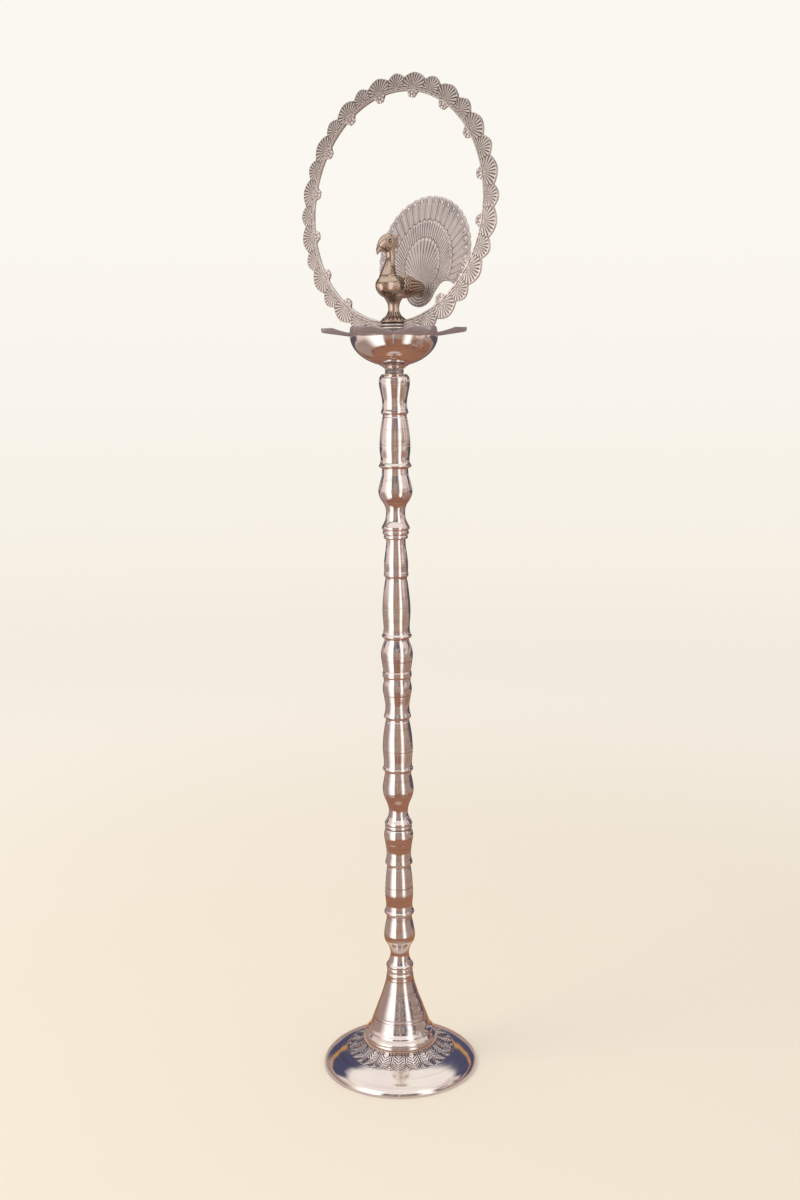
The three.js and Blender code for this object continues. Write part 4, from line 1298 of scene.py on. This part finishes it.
# %% Fit the bird between its flange and the tail
slope = np.radians(TAIL_LEAN)
behind = ((place[:, 1] / MM - TAIL_START[0]) * np.cos(slope)
          - (place[:, 2] / MM - TAIL_START[1]) * np.sin(slope))
past = np.maximum(behind + 0.02, 0)
place[:, 1] -= past * np.cos(slope) * MM
place[:, 2] += past * np.sin(slope) * MM
place[:, 2] = np.maximum(place[:, 2], seat * MM)
bird_skin.vertices.foreach_set("co", place.astype(np.float32).ravel())
mark_points(bird_skin, "hollow", bird_shade)
bird_skin.materials.clear()
bird_skin.materials.append(aged_brass)
shade_smooth(bird_skin)
bird_skin.update()
bird = placed("peacock_cast", bird_skin)
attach(bird, "peacock")
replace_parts(bird, "peacock_body")
print("peacock_cast:", len(bird_skin.polygons), "faces")

# %% The tail as a piece
tail = add_piece("tail_fan", "peacock", feather_brass, [
    {"points": tail_front, "map": barb_map, "hollow": tail_shade},
    {"points": tail_rear, "map": barb_map, "hollow": 0.3},
    rims(tail_front, tail_rear, 0.4)[-1],
])
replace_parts(tail, "peacock_tail")

# %% [markdown]
# ## Floor, light and camera
#
# Polished metal has no colour to show but that of the room it mirrors. This room is copper brown
# and tan in front of the lamp, with a tall soft light on each side of the camera, and a dark navy
# blue behind. That gives the turned pieces their copper stripe between two pale bands, and a narrow
# dim light in the middle splits the stripe. The lights reach lower than the lamp's foot, so a piece
# high on the stem still mirrors them from its under side. They are curved cards here, which only
# mirrored rays meet. The world is the rest of the room for those rays, a plain cream backdrop for
# the camera, and an even white for the rays that light the scene.

# %% The room
CREAM_HIGH = (0.965, 0.938, 0.885, 1)
CREAM_LOW = (0.885, 0.810, 0.690, 1)
ROOM_LIGHT = (0.92, 0.90, 0.88, 1)
ROOM_BROWN = (0.36, 0.18, 0.115, 1)
ROOM_NAVY = (0.082, 0.087, 0.16, 1)
ROOM_MAUVE = (0.115, 0.095, 0.125, 1)
ROOM_CEILING = (0.98, 0.94, 0.92, 1)
ROOM_HAZE = (0.46, 0.38, 0.36, 1)
ROOM_AMBER = (0.62, 0.34, 0.12, 1)
ROOM_COPPER = (0.42, 0.225, 0.15, 1)
ROOM_UMBER = (0.26, 0.13, 0.095, 1)
ROOM_TAN = (0.40, 0.345, 0.31, 1)
ROOM_SLATE = (0.10, 0.09, 0.12, 1)
CAMERA_TURN = np.radians(42.98)

STOPS = [(0.0, ROOM_MAUVE), (0.485, ROOM_MAUVE), (0.50, ROOM_HAZE), (0.54, ROOM_HAZE), (0.57, ROOM_NAVY),
         (0.66, ROOM_NAVY), (0.675, ROOM_AMBER), (0.695, ROOM_AMBER), (0.71, ROOM_NAVY), (0.84, ROOM_NAVY),
         (0.875, ROOM_CEILING), (1.0, ROOM_CEILING)]


def towards_camera(x, y):
    """How far a place or a direction lies towards the camera: x times the sine of the camera's turn
    less y times its cosine."""
    return x * float(np.sin(CAMERA_TURN)) - y * float(np.cos(CAMERA_TURN))


world = bpy.data.worlds.new("studio")
bpy.context.scene.world = world
room = Finish(world)
heading = room.place("Generated")
east, north, high = room.parts(heading)
level = (1.0001 - high * high).maths("SQRT")
facing = towards_camera(east, north).maths("DIVIDE", level)
uneven_high = high + (room.noise(heading, 7.0, 3.0, 0.6) - 0.5) * 0.09
behind_ramp = room.node("ShaderNodeValToRGB", {}, {"Fac": uneven_high * 0.5 + 0.5})
for stop, _ in STOPS[1:-1]:
    behind_ramp.color_ramp.elements.new(stop)
for element, (stop, colour) in zip(behind_ramp.color_ramp.elements, STOPS):
    element.position = stop
    element.color = colour
curtain = room.noise(heading, 6.0)
level_before = room.mixed(curtain.between(0.44, 0.54), ROOM_COPPER, ROOM_TAN)
brown = room.mixed(curtain.between(0.42, 0.62), ROOM_BROWN, ROOM_UMBER)
low_before = room.mixed(high.between(-0.44, -0.30), brown, level_before)
high_before = room.mixed(curtain.between(0.46, 0.50), ROOM_SLATE, ROOM_TAN)
before = room.mixed(uneven_high.between(0.16, 0.26), low_before, high_before)
before = room.mixed(high.between(0.54, 0.66), before, ROOM_CEILING)
widened = facing + (1.0 - high.between(-0.40, -0.08)) * 0.9
mirrored = room.mixed(widened.between(-0.34, -0.06), behind_ramp.outputs["Color"], before)
backdrop = room.mixed(high.between(-0.40, 0.16), CREAM_LOW, CREAM_HIGH)
rays = room.node("ShaderNodeLightPath").outputs
lit = room.mixed(rays["Is Glossy Ray"], ROOM_LIGHT, mirrored)
seen = room.mixed(rays["Is Camera Ray"], lit, backdrop)
room.show(room.shader("ShaderNodeBackground", {"Color": seen, "Strength": 1.0}), "ShaderNodeOutputWorld")
print("room:", len(room.tree.nodes), "nodes")

# %% The cards of light
CARD_R = 1.28
CARD_COLUMNS = 49
LOW_TILT = 0.55
CARD_NEAR = (1.0, 0.99, 0.99, 1)
CARD_FAR = (0.52, 0.45, 0.425, 1)
CARD_SHADED = (0.25, 0.19, 0.168, 1)


def card(name, first, last, swell, low, high, brightness, patches, sooner):
    """A curved card of light on the room's circle, between two turns in degrees to the right of the
    camera. It grows bright over the share of its width that swell says, and between the two heights
    of low, in metres, which fall by LOW_TILT over its width. It fades between the two heights of
    high, and over its last tenth, which comes sooner by that share above half a metre. Patches is
    how dark the blotches are that things in front of it make."""
    turn = CAMERA_TURN + np.radians(np.linspace(first, last, CARD_COLUMNS))
    height = np.array([[low[0]], [high[1]]])
    grid = np.stack(np.broadcast_arrays(CARD_R * np.sin(turn), -CARD_R * np.cos(turn), height), -1)
    mesh, _ = mesh_of(name, [grid])
    mark_points(mesh, "across", np.tile(np.linspace(0, 1, CARD_COLUMNS), 2))
    finish = Finish(bpy.data.materials.new(name))
    across, up = finish.mark("across"), finish.parts(finish.place())[2]
    far = finish.mixed(up.between(0.35, 0.75), CARD_SHADED, CARD_FAR)
    tint = finish.mixed(across.between(0.17, 0.50), CARD_NEAR, far)
    width = across + up.between(0.45, 0.62) * sooner
    edge = across.between(0.0, swell) * (1.0 - width.between(0.90, 1.0))
    edge = edge * (up + across * LOW_TILT).between(*low) * (1.0 - up.between(*high))
    blotches = finish.noise(finish.place(), 2.6).between(0.46, 0.53)
    covered = blotches * across.between(0.22, 0.34) * (1.0 - up.between(0.95, 1.15))
    edge = edge * (1.0 - covered * patches)
    glow = finish.shader("ShaderNodeEmission", {"Color": tint, "Strength": brightness})
    finish.show(finish.either(edge, finish.shader("ShaderNodeBsdfTransparent"), glow))
    mesh.materials.append(finish.owner)
    made = placed(name, mesh)
    made.visible_camera = False
    made.visible_diffuse = False
    made.visible_shadow = False
    made.visible_transmission = False
    print(f"{name}: {abs(last - first)} degrees wide, {high[1] - low[0]:.2f} m tall")


card("light_right", 19, 118, 0.20, (-0.50, 0.04), (1.60, 1.78), 1.55, 0.9, 0.0)
card("light_left", -23, -152, 0.08, (-0.75, -0.15), (1.22, 1.52), 1.6, 0.0, 0.26)
card("light_middle", -4, 3, 0.4, (-0.40, -0.30), (1.0, 1.1), 1.0, 0.0, 0.0)

# %% [markdown]
# The floor is matt paper for the camera, a little paler far off, and fades into the backdrop. For
# mirrored rays it is a small table: pale round the foot, brown in front and amber close behind.

# %% The floor and a soft key light
FLOOR_RINGS = [0.0, 0.3, 0.8, 1.6, 3.0, 6.0]
PAPER = (0.835, 0.762, 0.645, 1)
PAPER_FAR = (0.905, 0.855, 0.775, 1)
TABLE_PALE = (0.64, 0.55, 0.50, 1)
floor_r = np.array(FLOOR_RINGS)[:, None]
floor_turn = circle(96)
floor_sides = np.broadcast_arrays(floor_r * np.cos(floor_turn), floor_r * np.sin(floor_turn), 0.0)
floor_mesh, _ = mesh_of("floor", [np.stack(floor_sides, -1)])
floor = placed("floor", floor_mesh)
paper = Finish(bpy.data.materials.new("floor_paper"))
spot = paper.place()
x, y, _ = paper.parts(spot)
distance = paper.number("ShaderNodeVectorMath", {"operation": "LENGTH"}, {0: spot}, "Value")
mirror_ray = paper.number("ShaderNodeLightPath", {}, {}, "Is Glossy Ray")
matt = paper.shader("ShaderNodeBsdfDiffuse", {"Color": PAPER})
matt_far = paper.shader("ShaderNodeBsdfDiffuse", {"Color": PAPER_FAR})
rear_share = (towards_camera(x, y) * -1.0).between(0.03, 0.08) * (1.0 - distance.between(0.20, 0.26))
table_tone = paper.mixed(rear_share, ROOM_BROWN, ROOM_AMBER)
table_tone = paper.mixed(distance.between(0.13, 0.20), TABLE_PALE, table_tone)
table = paper.shader("ShaderNodeEmission", {"Color": table_tone, "Strength": 1.0})
top = paper.either(mirror_ray, paper.either(distance.between(0.5, 2.0), matt, matt_far), table)
paper_end, table_end = distance.between(1.0, 4.5), distance.between(0.50, 0.60)
see_through = paper_end + mirror_ray * (table_end - paper_end)
paper.show(paper.either(see_through, top, paper.shader("ShaderNodeBsdfTransparent")))
floor_mesh.materials.append(paper.owner)

key = bpy.data.lights.new("key", "AREA")
key.shape = "DISK"
key.size = 1.6
key.energy = 26
key.color = (1.0, 0.98, 0.95)
key_lamp = placed("key", key)
key_lamp.visible_glossy = False
key_lamp.location = (-0.9, -1.9, 2.6)
key_lamp.rotation_euler = (Vector((0, 0, 0.7)) - key_lamp.location).to_track_quat("-Z", "Y").to_euler()
print("floor out to", FLOOR_RINGS[-1], "m, key light of", key.energy, "W")

# %% [markdown]
# The camera's place was worked out from the ellipses of the foot and the flange. It looks almost
# level, and its lens is shifted down to take in the foot, which keeps upright lines upright.

# %% The camera
CAMERA_PLACE = Vector((1.2001, -1.2776, 0.8568))
CAMERA_PITCH = np.radians(0.44)
CAMERA_ROLL = np.radians(0.54)
FOCAL_PIXELS = 1422.9
FRAME_HEIGHT = 1200
camera_data = bpy.data.cameras.new("camera")
camera_data.sensor_width = 36
camera_data.lens = 36 * FOCAL_PIXELS / FRAME_HEIGHT
camera_data.shift_y = -0.185
camera = placed("camera", camera_data)
back = Vector((np.sin(CAMERA_TURN) * np.cos(CAMERA_PITCH), -np.cos(CAMERA_TURN) * np.cos(CAMERA_PITCH),
               np.sin(CAMERA_PITCH)))
level_right = Vector((np.cos(CAMERA_TURN), np.sin(CAMERA_TURN), 0))
axes = Matrix((level_right, back.cross(level_right), back)).transposed()
upright = Matrix.Translation(CAMERA_PLACE) @ axes.to_4x4()
camera.matrix_world = upright @ Matrix.Rotation(-CAMERA_ROLL, 4, "Z")
bpy.context.scene.camera = camera
bpy.context.scene.view_settings.view_transform = "Standard"
print("camera", [round(v, 3) for v in camera.location], "lens", round(camera_data.lens, 2))

# %% [markdown]
